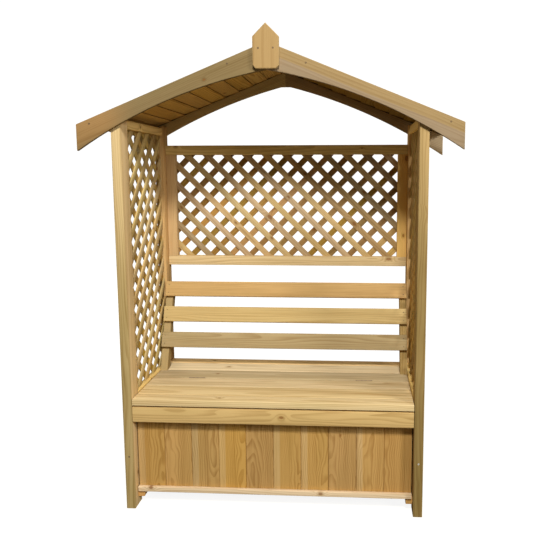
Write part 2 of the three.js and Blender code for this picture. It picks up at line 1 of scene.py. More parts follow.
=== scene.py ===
"""Looks for the storage arbour seat: treated softwood boards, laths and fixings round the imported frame.

Metres, +Z up, the sitter looks along -Y, and the origin is on the ground in the middle of the footprint.
"""

import math

import bmesh
import bpy
import numpy as np
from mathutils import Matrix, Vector


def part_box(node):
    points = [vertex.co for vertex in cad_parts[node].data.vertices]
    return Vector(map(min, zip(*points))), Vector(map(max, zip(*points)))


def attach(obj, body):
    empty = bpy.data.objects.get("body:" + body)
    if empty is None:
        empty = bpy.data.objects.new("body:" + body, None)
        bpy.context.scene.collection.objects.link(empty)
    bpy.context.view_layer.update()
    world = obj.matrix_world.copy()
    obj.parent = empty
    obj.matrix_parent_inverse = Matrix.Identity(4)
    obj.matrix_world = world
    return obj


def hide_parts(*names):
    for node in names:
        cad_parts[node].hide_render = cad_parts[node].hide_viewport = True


bl_info = {
    "name": "Storage arbour seat",
    "version": (1, 0, 0),
    "blender": (4, 5, 0),
    "location": "View3D > Sidebar > Arbour",
    "description": "Makes the boards, laths, roof and fixings of a storage arbour seat",
    "category": "Object",
}

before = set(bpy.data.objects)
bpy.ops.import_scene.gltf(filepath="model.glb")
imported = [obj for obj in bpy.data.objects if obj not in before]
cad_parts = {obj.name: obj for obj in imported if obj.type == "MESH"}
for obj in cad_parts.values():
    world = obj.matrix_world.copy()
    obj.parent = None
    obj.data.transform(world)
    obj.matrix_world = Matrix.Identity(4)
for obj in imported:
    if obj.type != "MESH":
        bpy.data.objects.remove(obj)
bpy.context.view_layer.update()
HANDS = ((-1, "left"), (1, "right"))
FRONT_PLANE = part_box("front_post_left")[0][1]  # the posts' front faces
GAP = 0.0003  # left between neighbouring pieces
SHARP = math.radians(38)  # edges that turn by more than this are shaded sharp
LOG = 40.0  # metres of timber out of which each board's stretch of grain is picked


# Sizes and colours

def length(name, description, default):
    return bpy.props.FloatProperty(
        name=name, description=description, default=default, min=0.0, unit="LENGTH", precision=4)


def angle(name, description, degrees):
    return bpy.props.FloatProperty(
        name=name, description=description, default=math.radians(degrees), subtype="ANGLE")


def tint(name, description, red, green, blue):
    return bpy.props.FloatVectorProperty(
        name=name, description=description, default=(red / 255, green / 255, blue / 255),
        min=0.0, max=1.0, size=3, subtype="COLOR_GAMMA")


def lengths(name, description, *default):
    return bpy.props.FloatVectorProperty(
        name=name, description=description, default=default, size=len(default), unit="LENGTH")


class ArbourSizes(bpy.types.PropertyGroup):
    """Sizes of the pieces that can't be read straight off the frame's boxes."""

    arris: length("Arris", "Rounding along the edges of the planed timber", 0.0022)
    end_ease: length("End easing", "Easing round the sawn ends of the boards", 0.0008)
    saw_ease: length("Saw easing", "Easing along the edges of sawn boards", 0.0006)
    tongue_play: length("Tongue play", "Half the gap between two tongued boards", 0.0002)
    joint_half: length("V joint", "Half the width of the V joint between two tongued boards", 0.0026)
    joint_depth: length("V joint depth", "Depth of the V joint", 0.0031)
    seat_arris: length("Seat arris", "Rounding along the edges of the seat boards", 0.003)
    lath_arris: length("Lath arris", "Rounding along a lath's edges", 0.0013)
    lath_width: length("Lath width", "Width of a trellis lath", 0.028)
    lath_thick: length("Lath thickness", "Thickness of a trellis lath", 0.007)
    lath_gap: length("Lath gap", "Clear gap between two laths of one layer", 0.0403)
    lath_bed: length("Lath bed", "How far the stapled layers bite into each other", 0.0005)
    recline: angle("Recline", "How far the backrest leans from upright", 20.4)
    support_depth: length("Support depth", "Depth of a back support, front to back", 0.042)
    support_length: length("Support length", "Length of a back support up its slope", 0.422)
    heel_flat: length("Heel flat", "Level part of a back support's foot", 0.014)
    heel_rise: length("Heel rise", "Height over which the support's heel is rounded", 0.017)
    foot_back: length("Support foot", "From the posts' front plane to the support's foot", 0.380)
    slat_width: length("Slat width", "Width of a back slat", 0.072)
    slat_thick: length("Slat thickness", "Thickness of a back slat", 0.020)
    slat_first: length("First slat", "From the support's foot up to the lowest slat", 0.109)
    slat_pitch: length("Slat pitch", "From one back slat to the next", 0.1224)
    pitch: angle("Roof pitch", "Slope of the roof", 22.0)
    half_roof: length("Half roof", "From the ridge line to the eave", 0.750)
    barge_apex: length("Barge apex", "Height of the barge boards' upper edge at the ridge", 1.900)
    barge_depths: lengths("Barge depths", "Depth at eave and ridge, and the arch's rise", 0.103, 0.104, 0.042)
    arch_depths: lengths("Rear arch depths", "Depth at eave and ridge, and its rise", 0.092, 0.070, 0.033)
    arch_flat: length("Rear arch flat", "Level stretch beside the rear arch's mitre", 0.022)
    bed_apex: length("Bed apex", "Height of the roof boards' bed at the ridge", 1.885)
    board_width: length("Roof board width", "Width of a featheredge roof board", 0.100)
    board_edges: lengths("Roof board edges", "Thickness of the lower and the upper edge", 0.009, 0.004)
    board_exposure: length("Roof board exposure", "From one roof board to the next", 0.073)
    first_step: length("First step", "From the ridge down to the first full board", 0.022)
    # painted shade: how far the near-black tint reaches in under the roof boards' rear ends
    rear_shade_reach: length("Rear shade reach", "How far stain has soaked into the roof boards' rear ends", 0.066)
    screw_head: length("Screw head", "Radius of a screw head", 0.0036)
    screw_inset: length("Screw inset", "From a barge board's upper edge down to its screws", 0.020)
    screw_pair: length("Screw pair", "From the middle of a slat to each of its two screws", 0.0192)
    eave_short: length("Eave setback", "Roof boards short of the end of the barge boards", 0.006)


class ArbourColours(bpy.types.PropertyGroup):
    """Colours of the treated softwood and its fixings."""

    post: tint("Left front post", "Pale planed face", 239, 212, 164)
    post_rear: tint("Rear posts", "Browner planed face", 216, 181, 130)
    post_right: tint("Right front post", "Darker planed face", 198, 168, 115)
    rail: tint("Rails", "Rails of the side frames and the box, battens and rafters", 240, 208, 138)
    # The side laths are lit and shaded copies of one wood: the left laths' paler colour is painted light, the
    # right laths' warmer orange brown painted shade.
    lath_left: tint("Left laths", "Pale olive laths", 203, 175, 111)
    lath_right: tint("Right laths", "Orange brown laths", 201, 164, 89)
    lath_back: tint("Back laths", "Grey brown laths", 192, 160, 107)
    frame_wood: tint("Back top rail", "Yellow tan rail", 250, 216, 136)
    lower_rail: tint("Back bottom rail", "Pale rail", 218, 192, 143)
    slat_upper: tint("Upper slat", "Orange tan slat", 200, 164, 103)
    slat_middle: tint("Middle slat", "Yellow green slat", 207, 180, 128)
    slat_lower: tint("Lower slat", "Brown grey slat", 179, 159, 118)
    seat: tint("Seat boards", "Boards of the lid and behind it", 225, 201, 155)
    apron: tint("Apron", "Board under the nosing", 201, 170, 111)
    cladding: tint("Cladding", "Tongued boards", 196, 155, 92)
    bearer: tint("Bearers", "Bearers under the box's floor", 250, 200, 124)
    barge_left: tint("Left barge board", "Grey green face", 136, 116, 80)
    barge_right: tint("Right barge board", "Yellow face", 157, 132, 92)
    support: tint("Back supports", "Leaning supports of the slats", 181, 155, 106)
    # The back stiles are lit and shaded copies of one wood: the left stile's pale colour is painted light,
    # the right stile's stronger orange painted shade.
    stile: tint("Left stile", "Pale stile of the back panel", 222, 187, 140)
    stile_right: tint("Right stile", "Orange stile of the back panel", 250, 208, 126)
    foot: tint("Foot rail", "Rail under the front boards", 230, 206, 172)
    # The rear arches are lit and shaded copies of one wood: the left arch's paler colour is painted light,
    # the right arch's darker colour painted shade.
    arch_left: tint("Left rear arch", "Paler arch", 208, 182, 124)
    arch_right: tint("Right rear arch", "Darker arch", 164, 136, 98)
    roof: tint("Roof boards", "Sawn featheredge boards", 183, 154, 98)
    finial: tint("Finial", "Pointed plate over the barge boards", 199, 171, 123)
    late: tint("Latewood", "What a growth ring's dark line leaves of the pale colour", 196, 178, 150)
    stain: tint("Treatment stain", "What the greenish stain leaves of the pale colour", 218, 222, 206)
    # darker towards the bottom of the posts, most of all on their front faces
    damp: tint("Damp stain", "What the damp stain low on the posts leaves of the pale colour", 168, 167, 138)
    knot: tint("Knots", "Middle of a knot", 132, 84, 44)
    zinc: tint("Zinc", "Plated steel of the hinges", 142, 120, 88)
    coated: tint("Coated steel", "Brown coating of the screws", 84, 64, 40)
    floor: tint("Floor", "Studio floor and backdrop", 132, 127, 114)


def sizes():
    return bpy.context.scene.arbour_sizes


def colours():
    return bpy.context.scene.arbour_colours


def linear(colour):
    """A display colour as the shader's linear value: the usual sRGB curve, undone."""
    c = np.array(colour[:3], float)
    return tuple(np.where(c <= 0.04045, c / 12.92, ((c + 0.055) / 1.055) ** 2.4)) + (1.0,)


# Shader node groups

NOWHERE = 1000.0  # metres, further than any board reaches


def socket(group, name, kind, out=False, value=None):
    made = group.interface.new_socket(
        name=name, in_out="OUTPUT" if out else "INPUT", socket_type="NodeSocket" + kind)
    if value is not None:
        made.default_value = value
    return made


class Graph:
    """Adds nodes to one tree and joins them, so that a formula reads from left to right."""

    def __init__(self, tree):
        self.tree = tree

    def node(self, kind, **settings):
        made = self.tree.nodes.new(kind)
        for key, value in settings.items():
            setattr(made, key, value)
        return made

    def feed(self, sock, value):
        if isinstance(value, bpy.types.NodeSocket):
            self.tree.links.new(value, sock)
        else:
            sock.default_value = value

    def fed(self, kind, *values, **settings):
        """The outputs of a node whose first sockets take the values in their order."""
        made = self.node(kind, **settings)
        for sock, value in zip(made.inputs, values):
            self.feed(sock, value)
        return made.outputs

    def math(self, operation, *values, clamp=False):
        return self.fed("ShaderNodeMath", *values, operation=operation, use_clamp=clamp)[0]

    def plus(self, first, second):
        return self.math("ADD", first, second)

    def minus(self, first, second):
        return self.math("SUBTRACT", first, second)

    def times(self, first, second):
        return self.math("MULTIPLY", first, second)

    def vector(self, operation, *values):
        made = self.fed("ShaderNodeVectorMath", *values, operation=operation)
        return made["Value" if operation == "LENGTH" else "Vector"]

    def parts(self, vector):
        return self.fed("ShaderNodeSeparateXYZ", vector)

    def joined(self, *values):
        return self.fed("ShaderNodeCombineXYZ", *values)[0]

    def ramp(self, value, low, high, to_low=0.0, to_high=1.0, smooth=True):
        kind = "SMOOTHSTEP" if smooth else "LINEAR"
        made = self.fed("ShaderNodeMapRange", value, low, high, to_low, to_high, interpolation_type=kind)
        return made["Result"]

    def noise(self, vector, scale, detail=3.0, rough=0.55):
        made = self.node("ShaderNodeTexNoise")
        for name, v in zip(("Vector", "Scale", "Detail", "Roughness"), (vector, scale, detail, rough)):
            self.feed(made.inputs[name], v)
        return made.outputs["Fac"]

    def mix(self, share, first, second, blend="MIX"):
        made = self.node("ShaderNodeMix", data_type="RGBA", blend_type=blend)
        self.feed(made.inputs[0], share)
        self.feed(made.inputs[6], first)
        self.feed(made.inputs[7], second)
        return made.outputs[2]

    def read(self, attribute):
        return self.node("ShaderNodeAttribute", attribute_name=attribute).outputs

    def place(self):
        return self.node("ShaderNodeTexCoord").outputs["Object"]

    def show(self, shader, kind="ShaderNodeOutputMaterial"):
        self.feed(self.node(kind).inputs["Surface"], shader.outputs[0])


def emptied(owner):
    """The graph of a material or a world, with nothing in it."""
    owner.use_nodes = True
    owner.node_tree.nodes.clear()
    return Graph(owner.node_tree)


def softwood_group():
    """Treated softwood as a solid: growth rings are cylinders round a pith beside the board, bent by slow
    noise and pushed aside round knots, with fine fibres, a greenish treatment stain and darker sawn ends."""
    name = "Treated softwood"
    if name in bpy.data.node_groups:
        return bpy.data.node_groups[name]
    group = bpy.data.node_groups.new(name, "ShaderNodeTree")
    for title in ("Grain", "Board"):
        socket(group, title, "Vector")
    for title in ("Pale", "Late", "Stain", "Knot", "Damp tint", "Sap tint", "Ruddy tint", "Under tint",
                  "End tint"):
        socket(group, title, "Color", value=(1, 1, 1, 1))
    for title, value in (
            ("End", 0.0), ("Damp", 0.0), ("Sap side", 1.0), ("Sap edge", NOWHERE), ("Ruddy from", NOWHERE),
            ("Under edge", -NOWHERE), ("Figure", 0.1), ("Streaks", 0.85), ("Ring contrast", 0.6),
            ("Ring width", 0.0055), ("Stain share", 0.35), ("Knot share", 0.35), ("Board spread", 0.35)):
        socket(group, title, "Float", value=value)
    for title, kind in (("Colour", "Color"), ("Roughness", "Float"), ("Height", "Float")):
        socket(group, title, kind, out=True)
    g = Graph(group)
    ins = g.node("NodeGroupInput").outputs
    grain = ins["Grain"]
    across, through, along = g.parts(grain)
    tone, heart, patch = g.parts(ins["Board"])

    # noise that bends the rings, slow along the board
    waves, bend_by = 11.0, 0.04
    slow = g.vector("MULTIPLY", grain, g.joined(1.0, 1.0, ins["Figure"]))
    bend = g.times(g.minus(g.noise(slow, waves, 2.0), 0.5), bend_by)

    # knots: at most one in each cell of a grid over the face, longer along the board than across; the rings
    # swell round a knot by a bell curve
    cells_across, cells_along, knot_stretch = 14.0, 4.2, 0.62
    knot_least, knot_spread, swell_by, swell_fall = 0.0028, 0.0065, 1.8, -0.14
    cell = g.joined(g.times(across, cells_across), g.times(along, cells_along))
    cells = g.node("ShaderNodeTexVoronoi", voronoi_dimensions="2D", feature="F1")
    g.feed(cells.inputs["Vector"], cell)
    g.feed(cells.inputs["Scale"], 1.0)
    away = g.vector("SUBTRACT", cell, cells.outputs["Position"])
    away = g.vector("MULTIPLY", away, (1 / cells_across, knot_stretch / cells_along, 0.0))
    dice = g.fed("ShaderNodeSeparateColor", cells.outputs["Color"])
    there = g.math("LESS_THAN", dice[0], ins["Knot share"])
    radius = g.plus(g.times(dice[1], knot_spread), knot_least)
    near = g.math("DIVIDE", g.vector("LENGTH", away), radius)
    fall = g.math("EXPONENT", g.times(g.times(near, near), swell_fall))
    swell = g.times(fall, g.times(there, g.times(radius, swell_by)))

    # growth rings: whole turns of the distance from a pith that lies behind the face
    pith_swing, pith_behind = 0.16, 0.045
    side = g.plus(across, g.times(g.minus(heart, 0.5), pith_swing))
    deep = g.plus(through, pith_behind)
    pith = g.math("SQRT", g.plus(g.times(side, side), g.times(deep, deep)))
    turn = g.math("FRACT", g.math("DIVIDE", g.plus(g.plus(pith, bend), swell), ins["Ring width"]))
    late = g.times(g.ramp(turn, 0.25, 0.9), g.ramp(turn, 0.92, 1.0, 1.0, 0.0))

    # fibres, streaks and clouds: noise that runs finer across the board than along it
    fibres, streaks, clouds = (260.0, 260.0, 7.0), (55.0, 40.0, 1.6), (9.0, 9.0, 2.6)
    fibre = g.minus(g.noise(g.vector("MULTIPLY", grain, fibres), 1.0, 4.0, 0.6), 0.5)
    streak = g.minus(g.noise(g.vector("MULTIPLY", grain, streaks), 1.0, 2.0), 0.5)
    cloud = g.noise(g.vector("MULTIPLY", grain, clouds), 1.0, 3.0)
    fine = g.plus(g.times(fibre, 0.55), g.times(streak, ins["Streaks"]))
    dark = g.plus(g.times(late, ins["Ring contrast"]), fine)

    def tinted(share, below, title):
        return g.mix(share, below, ins[title], "MULTIPLY")

    # colour: pale wood, latewood, stain, sapwood, the underside tint that paints light and shade on the roof
    # boards, and a reddish stretch that is real figure on a barge board and painted sunlight on the rear
    # arches, each over the last
    colour = tinted(g.math("MAXIMUM", dark, 0.0, clamp=True), ins["Pale"], "Late")
    patchy = g.plus(cloud, g.times(g.minus(patch, 0.5), 0.5))
    colour = tinted(g.times(g.ramp(patchy, 0.42, 0.72), ins["Stain share"]), colour, "Stain")
    all_heart, sap_wander, sap_blend = 0.35, 0.012, 0.004
    outer = g.plus(g.times(across, ins["Sap side"]), g.times(streak, sap_wander))
    sap = g.ramp(g.minus(outer, ins["Sap edge"]), 0.0, sap_blend)
    colour = tinted(g.times(sap, g.math("GREATER_THAN", heart, all_heart)), colour, "Sap tint")
    # the underside tint is painted light under the left roof slope and painted shade under the right one
    colour = tinted(g.math("LESS_THAN", through, ins["Under edge"]), colour, "Under tint")
    # the reddish stretch: real figure on a barge board, painted sunlight on the rear arches' outer ends
    reached = g.ramp(g.minus(along, ins["Ruddy from"]), -0.05, 0.12)
    blotch = g.ramp(g.plus(cloud, g.times(across, 5.0)), 0.15, 0.55)
    colour = tinted(g.times(reached, blotch), colour, "Ruddy tint")

    # each board's own hue, strength and brightness
    level = g.node("ShaderNodeHueSaturation")
    g.feed(level.inputs["Color"], colour)
    for title, usual, own, reach in (
            ("Hue", 0.5, heart, 0.026), ("Saturation", 1.0, patch, -0.5), ("Value", 1.0, tone, 1.0)):
        shift = g.times(g.minus(own, 0.5), g.times(ins["Board spread"], reach))
        g.feed(level.inputs[title], g.plus(usual, shift))
    damp = g.times(ins["Damp"], g.ramp(g.plus(cloud, streak), 0.1, 0.9, 0.75, 1.0))
    colour = tinted(damp, level.outputs[0], "Damp tint")
    core = g.times(g.ramp(near, 0.75, 1.1, 1.0, 0.0), there)
    halo = g.times(g.ramp(near, 0.9, 2.6, 0.45, 0.0), there)
    colour = tinted(halo, colour, "Late")
    colour = g.mix(g.times(core, 0.65), colour, ins["Knot"])
    # the end tint darkens the sawn ends, and on the roof boards it also paints shade under their rear ends
    colour = tinted(ins["End"], colour, "End tint")

    outs = g.node("NodeGroupOutput").inputs
    g.feed(outs["Colour"], colour)
    g.feed(outs["Roughness"], g.plus(0.62, g.times(fibre, 0.3)))
    g.feed(outs["Height"], g.plus(g.times(late, 0.35), g.times(fibre, 0.8)))
    return group


def softwood(name, pale, stain_share=0.3, knots=0.3, contrast=0.45, ring=0.0055, spread=0.3, damp=None,
             sap=None, ruddy=None, under=None, sawn=(0.8, 0.75, 0.68), figure=0.1, streaks=0.85):
    """One finish of the treated softwood, with its own pale colour and shares.

    damp: the height where the darkening towards the bottom begins, the height where it is full, and its full
    share.
    sap: the side of the board that is sapwood, where it begins across the board, and its tint.
    ruddy: where along the board a reddish stretch begins, and its tint; on a barge board it is a real reddish
    figure, and on the rear arches it is painted sunlight on their outer ends.
    under: the depth through the board below which it is its underside, and that side's tint, which on the
    roof boards paints light under the left slope and shade under the right one.
    sawn: the tint of the sawn ends. figure: how fast the rings wander along the board."""
    # sawn also paints the near-black shade under the roof boards' rear ends
    if name in bpy.data.materials:
        return bpy.data.materials[name]
    material = bpy.data.materials.new(name)
    g = emptied(material)
    wood = g.node("ShaderNodeGroup")
    wood.node_tree = softwood_group()
    for title, attribute, part in (("Grain", "grain", "Vector"), ("Board", "board", "Vector"),
                                   ("End", "sawn_end", "Fac")):
        g.feed(wood.inputs[title], g.read(attribute)[part])
    c = colours()
    values = {"Pale": linear(pale), "Late": linear(c.late), "Stain": linear(c.stain), "Knot": linear(c.knot),
              "Damp tint": linear(c.damp), "Ring contrast": contrast, "Ring width": ring,
              "Stain share": stain_share, "Knot share": knots, "Board spread": spread,
              "End tint": (*sawn, 1), "Figure": figure, "Streaks": streaks}
    if sap:
        values.update({"Sap side": sap[0], "Sap edge": sap[1], "Sap tint": (*sap[2], 1)})
    if ruddy:
        values.update({"Ruddy from": ruddy[0], "Ruddy tint": (*ruddy[1], 1)})
    if under:
        values.update({"Under edge": under[0], "Under tint": (*under[1], 1)})
    for title, value in values.items():
        wood.inputs[title].default_value = value
    # darker towards the bottom: full share at the lower height, none at the upper, and 0.3 of it behind the
    # front faces
    if damp:
        begins, full, share = damp
        face, behind, behind_share = FRONT_PLANE + 0.001, FRONT_PLANE + 0.012, 0.3
        _, depth, height = g.parts(g.place())
        front = g.ramp(depth, face, behind, 1.0, behind_share)
        g.feed(wood.inputs["Damp"], g.times(g.ramp(height, full, begins, share, 0.0), front))
    shader = g.node("ShaderNodeBsdfPrincipled")
    g.feed(shader.inputs["Base Color"], wood.outputs["Colour"])
    g.feed(shader.inputs["Roughness"], wood.outputs["Roughness"])
    shader.inputs["Specular IOR Level"].default_value = 0.0
    relief = g.node("ShaderNodeBump")
    relief.inputs["Strength"].default_value = 0.6
    relief.inputs["Distance"].default_value = 0.00035
    g.feed(relief.inputs["Height"], wood.outputs["Height"])
    g.feed(shader.inputs["Normal"], relief.outputs["Normal"])
    g.show(shader)
    return material


def steel(name, colour, shine):
    """Plated or coated steel: one colour under soft cloudy spots of bloom, duller where the bloom is."""
    if name in bpy.data.materials:
        return bpy.data.materials[name]
    material = bpy.data.materials.new(name)
    g = emptied(material)
    cloud = g.noise(g.place(), 240.0, 4.0)
    shader = g.node("ShaderNodeBsdfPrincipled")
    full = linear(colour)
    dull = tuple(0.55 * v for v in full[:3]) + (1.0,)
    g.feed(shader.inputs["Base Color"], g.mix(g.ramp(cloud, 0.4, 0.7), full, dull))
    shader.inputs["Metallic"].default_value = shine
    g.feed(shader.inputs["Roughness"], g.ramp(cloud, 0.3, 0.75, 0.42, 0.65))
    g.show(shader)
    return material


# Surfaces

def chance(name, count=3):
    """Numbers between 0 and 1 that belong to a piece's name, the same on every run."""
    seed = sum((i + 1) * ord(letter) for i, letter in enumerate(name))
    return np.random.default_rng(seed).random(count)


def rounded_section(half_width, half_thick, radius, steps=3):
    """A rectangle with rounded corners, anticlockwise: each corner is a quarter circle of the given radius
    about a point that lies a radius inside both edges. Half sizes may be arrays, one section each."""
    half_width, half_thick = np.atleast_1d(half_width), np.atleast_1d(half_thick)
    quarter = np.linspace(0, np.pi / 2, steps + 1)
    turn = (quarter[None, :] + np.arange(4)[:, None] * np.pi / 2).ravel()
    sign_x = np.repeat([1, -1, -1, 1], steps + 1)
    sign_y = np.repeat([1, 1, -1, -1], steps + 1)
    radius = np.minimum(radius, 0.98 * np.minimum(half_width, half_thick))[:, None]
    x = sign_x * (half_width[:, None] - radius) + radius * np.cos(turn)
    y = sign_y * (half_thick[:, None] - radius) + radius * np.sin(turn)
    return np.stack([x, y], axis=-1)


def board_rings(width, thick, run, arris=None):
    """A straight board in its own frame, x across, y through and z along from 0 to run: a rounded section
    carried along a line, drawn in by the easing at its two ends."""
    s = sizes()
    z = np.array([0.0, s.end_ease, run - s.end_ease, run])
    draw = np.array([s.end_ease, 0.0, 0.0, s.end_ease])
    section = rounded_section(width / 2 - draw, thick / 2 - draw, arris or s.arris)
    along = np.broadcast_to(z[:, None, None], section.shape[:2] + (1,))
    return np.concatenate([section, along], axis=-1)


def end_marks(rings):
    """1 on the first and the last ring, which carry the sawn ends, and 0 between."""
    marks = np.zeros(rings.shape[:2])
    marks[[0, -1]] = 1.0
    return marks


def write_values(mesh, name, values):
    """Writes a number or a vector on every point of a mesh."""
    values = np.array(values, np.float32)
    kind, field = ("FLOAT", "value") if values.ndim == 1 else ("FLOAT_VECTOR", "vector")
    mesh.attributes.new(name, kind, "POINT").data.foreach_set(field, values.ravel())


def in_scene(name, data):
    made = bpy.data.objects.new(name, data)
    bpy.context.scene.collection.objects.link(made)
    return made


def settle(name, mesh, material, body, replaces):
    """A finished piece: its shading, its material, the body it rides and the CAD nodes it stands for."""
    mesh.shade_smooth()
    mesh.set_sharp_from_angle(angle=SHARP)
    mesh.materials.clear()
    mesh.materials.append(material)
    made = in_scene(name, mesh)
    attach(made, body)
    if replaces:
        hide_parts(*replaces)


class Piece:
    """Gathers closed boards, each a stack of rings, into one mesh with its grain written on every point."""

    def __init__(self, name):
        self.name = name
        self.points, self.grain, self.board, self.ends, self.faces = [], [], [], [], []
        self.count = 0

    def add(self, rings, basis, origin, grain=None, tone=None, key=None, slide=None, marks=None):
        """rings is (rings, points, 3) in the board's own frame. grain is the same shape, across, through and
        along the timber, and is the board's own frame where it isn't given. basis holds the directions of x,
        y and z as rows. tone, key and slide take the place of what the board's name would draw. marks is how
        much of a sawn end each point is."""
        grain = rings if grain is None else grain
        marks = end_marks(rings) if marks is None else marks
        own = chance(key or f"{self.name}{len(self.points)}", 4)
        basis = np.array(basis, float)
        placed = rings @ basis + np.array(origin, float)
        if np.linalg.det(basis) < 0:
            placed, grain, marks = placed[:, ::-1], grain[:, ::-1], marks[:, ::-1]
        number, around = rings.shape[:2]
        index = self.count + np.arange(number * around).reshape(number, around)
        here, after = index[:-1], index[1:]
        quads = np.stack([here, np.roll(here, -1, 1), np.roll(after, -1, 1), after], axis=-1)
        self.faces += quads.reshape(-1, 4).tolist()
        self.faces += [index[0][::-1].tolist(), index[-1].tolist()]
        self.points.append(placed.reshape(-1, 3))
        self.grain.append((grain + [0, 0, (own[3] if slide is None else slide) * LOG]).reshape(-1, 3))
        self.board.append(np.tile(own[:3] if tone is None else tone, (number * around, 1)))
        self.ends.append(marks.ravel())
        self.count += number * around
        return self

    def make(self, material, body="arbour", replaces=(), slot=None):
        mesh = bpy.data.meshes.new(self.name)
        mesh.from_pydata(np.concatenate(self.points), [], self.faces)
        write_values(mesh, "grain", np.concatenate(self.grain))
        write_values(mesh, "board", np.concatenate(self.board))
        write_values(mesh, "sawn_end", np.concatenate(self.ends))
        mesh.validate()
        settle(self.name, mesh, material, body, replaces)


AXES = {"x": (1, 0, 0), "y": (0, 1, 0), "z": (0, 0, 1)}
FACING_FRONT = ((1, 0, 0), (0, 0, 1), (0, -1, 0))  # a plate's x, y and z as it stands facing the front


def frame_for(grain, wide):
    """Rows for across, through and along, right-handed, for a board along one axis and wide along another."""
    along, across = np.array(AXES[grain], float), np.array(AXES[wide], float)
    return np.array([across, np.cross(along, across), along])


def corners(node):
    """The low and the high corner of a CAD node's box."""
    return [np.array(v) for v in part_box(node)]


def timber(node, grain, material, body="arbour", slot="frame_wood", arris=None, **more):
    """A planed timber in the place of a straight CAD node: a board that fills the node's box, along one axis
    and wide along the larger of the other two sides."""
    low, high = corners(node)
    size = dict(zip("xyz", high - low))
    wide, narrow = sorted((a for a in "xyz" if a != grain), key=lambda a: -size[a])
    basis = frame_for(grain, wide)
    rings = board_rings(size[wide], size[narrow], size[grain], arris)
    start = (low + high) / 2 - basis[2] * size[grain] / 2
    Piece(node + "_timber").add(rings, basis, start, **more).make(material, body, [node], slot)


def plate_rings(outline, thick, ease):
    """A flat plate in its own frame: a convex outline in x and y carried along z, with its edges eased by
    moving every side inwards by the easing on the two faces."""
    points = np.array(outline, float)
    before, after = points - np.roll(points, 1, 0), np.roll(points, -1, 0) - points
    before /= np.linalg.norm(before, axis=1)[:, None]
    after /= np.linalg.norm(after, axis=1)[:, None]
    normal_a = np.stack([-before[:, 1], before[:, 0]], 1)
    normal_b = np.stack([-after[:, 1], after[:, 0]], 1)
    bisector = normal_a + normal_b
    inset = points + ease * bisector / (1 + np.sum(normal_a * normal_b, axis=1))[:, None]
    rings = [np.c_[p, np.full(len(p), z)] for p, z in (
        (inset, 0), (points, ease), (points, thick - ease), (inset, thick))]
    return np.array(rings)


def turned_grain(rings):
    """The grain of a plate whose timber runs along the plate's y."""
    return rings[..., [0, 2, 1]]


# The arbour's own pieces

def make_posts():
    """Posts: a rounded section carried up from the ground, its points slid down by the roof's slope in
    proportion to their height, so that the top is sawn to the pitch."""
    s, c = sizes(), colours()
    slope = math.tan(s.pitch)
    for end in ("front", "rear"):
        for _, hand in HANDS:
            node = f"{end}_post_{hand}"
            low, high = corners(node)
            basis = frame_for("z", "y")
            deep, wide, tall = high[1] - low[1], high[0] - low[0], high[2]
            grain = board_rings(deep, wide, tall)
            start = (low + high) / 2 * (1, 1, 0)
            outward = np.abs(grain @ basis[:, 0] + start[0]) - min(abs(low[0]), abs(high[0]))
            rings = grain.copy()
            rings[..., 2] -= outward * slope * grain[..., 2] / tall
            shade = c.post_rear if end == "rear" else c.post_right if hand == "right" else c.post
            wood = softwood(f"Post wood {end} {hand}", shade, knots=0.28, damp=(2.6, 0.5, 0.92), streaks=1.2)
            Piece(node + "_timber").add(rings, basis, start, grain).make(wood, "arbour", [node], "post_wood")


def lath_lines(width, height, hole, lean):
    """Where the centre lines of one layer's laths meet the panel's lower edge, half a hole spacing from the
    hole whose shares along and up are given."""
    s = sizes()
    spacing = (s.lath_width + s.lath_gap) * math.sqrt(2)
    across, up = hole[0] * spacing, hole[1] * spacing
    reach = width + height
    count = math.ceil(reach / spacing)
    feet = across - lean * up + (np.arange(-count, count + 1) + 0.5) * spacing
    keep = (feet > -height) & (feet < width) if lean > 0 else (feet > 0) & (feet < reach)
    return feet[keep]


def lath_rings(width, height, foot, lean):
    """One lath at 45 degrees, cut to the panel. A point stands a across and s along the lath's middle line,
    and each line of constant a runs between the two places where it enters and leaves the panel. None where
    next to nothing of the lath is inside."""
    s = sizes()
    root = math.sqrt(2)
    tries, fewest, shortest, stub = 113, 8, 0.002, 0.0005

    def limits(a):
        u0, v0 = foot - lean * a / root, a / root
        ends_u = (-root * u0, root * (width - u0))
        ends_v = (-root * v0, root * (height - v0)) if lean > 0 else (root * (v0 - height), root * v0)
        return np.maximum(ends_u[0], ends_v[0]), np.minimum(ends_u[1], ends_v[1])

    across = np.linspace(-s.lath_width / 2, s.lath_width / 2, tries)
    first, last = limits(across)
    inside = across[last - first > shortest]
    if len(inside) < fewest:
        return None
    low, high = inside.min(), inside.max()
    section = rounded_section((high - low) / 2, s.lath_thick / 2, s.lath_arris, 2)[0]
    a = section[:, 0] + (low + high) / 2
    n = section[:, 1] + s.lath_thick / 2
    first, last = limits(a)
    last = np.maximum(last, first + stub)
    run = first + (last - first) * np.array([0.0, 0.5, 1.0])[:, None]
    u = foot - lean * a / root + run / root
    v = a / root + lean * run / root
    n = np.broadcast_to(n, u.shape)
    rings = np.stack([u, v, n], axis=-1)
    grain = np.stack([np.broadcast_to(a, u.shape), n, run], axis=-1)
    # a ring runs anticlockwise about the way the lath runs
    return rings[:, ::-1], grain[:, ::-1]


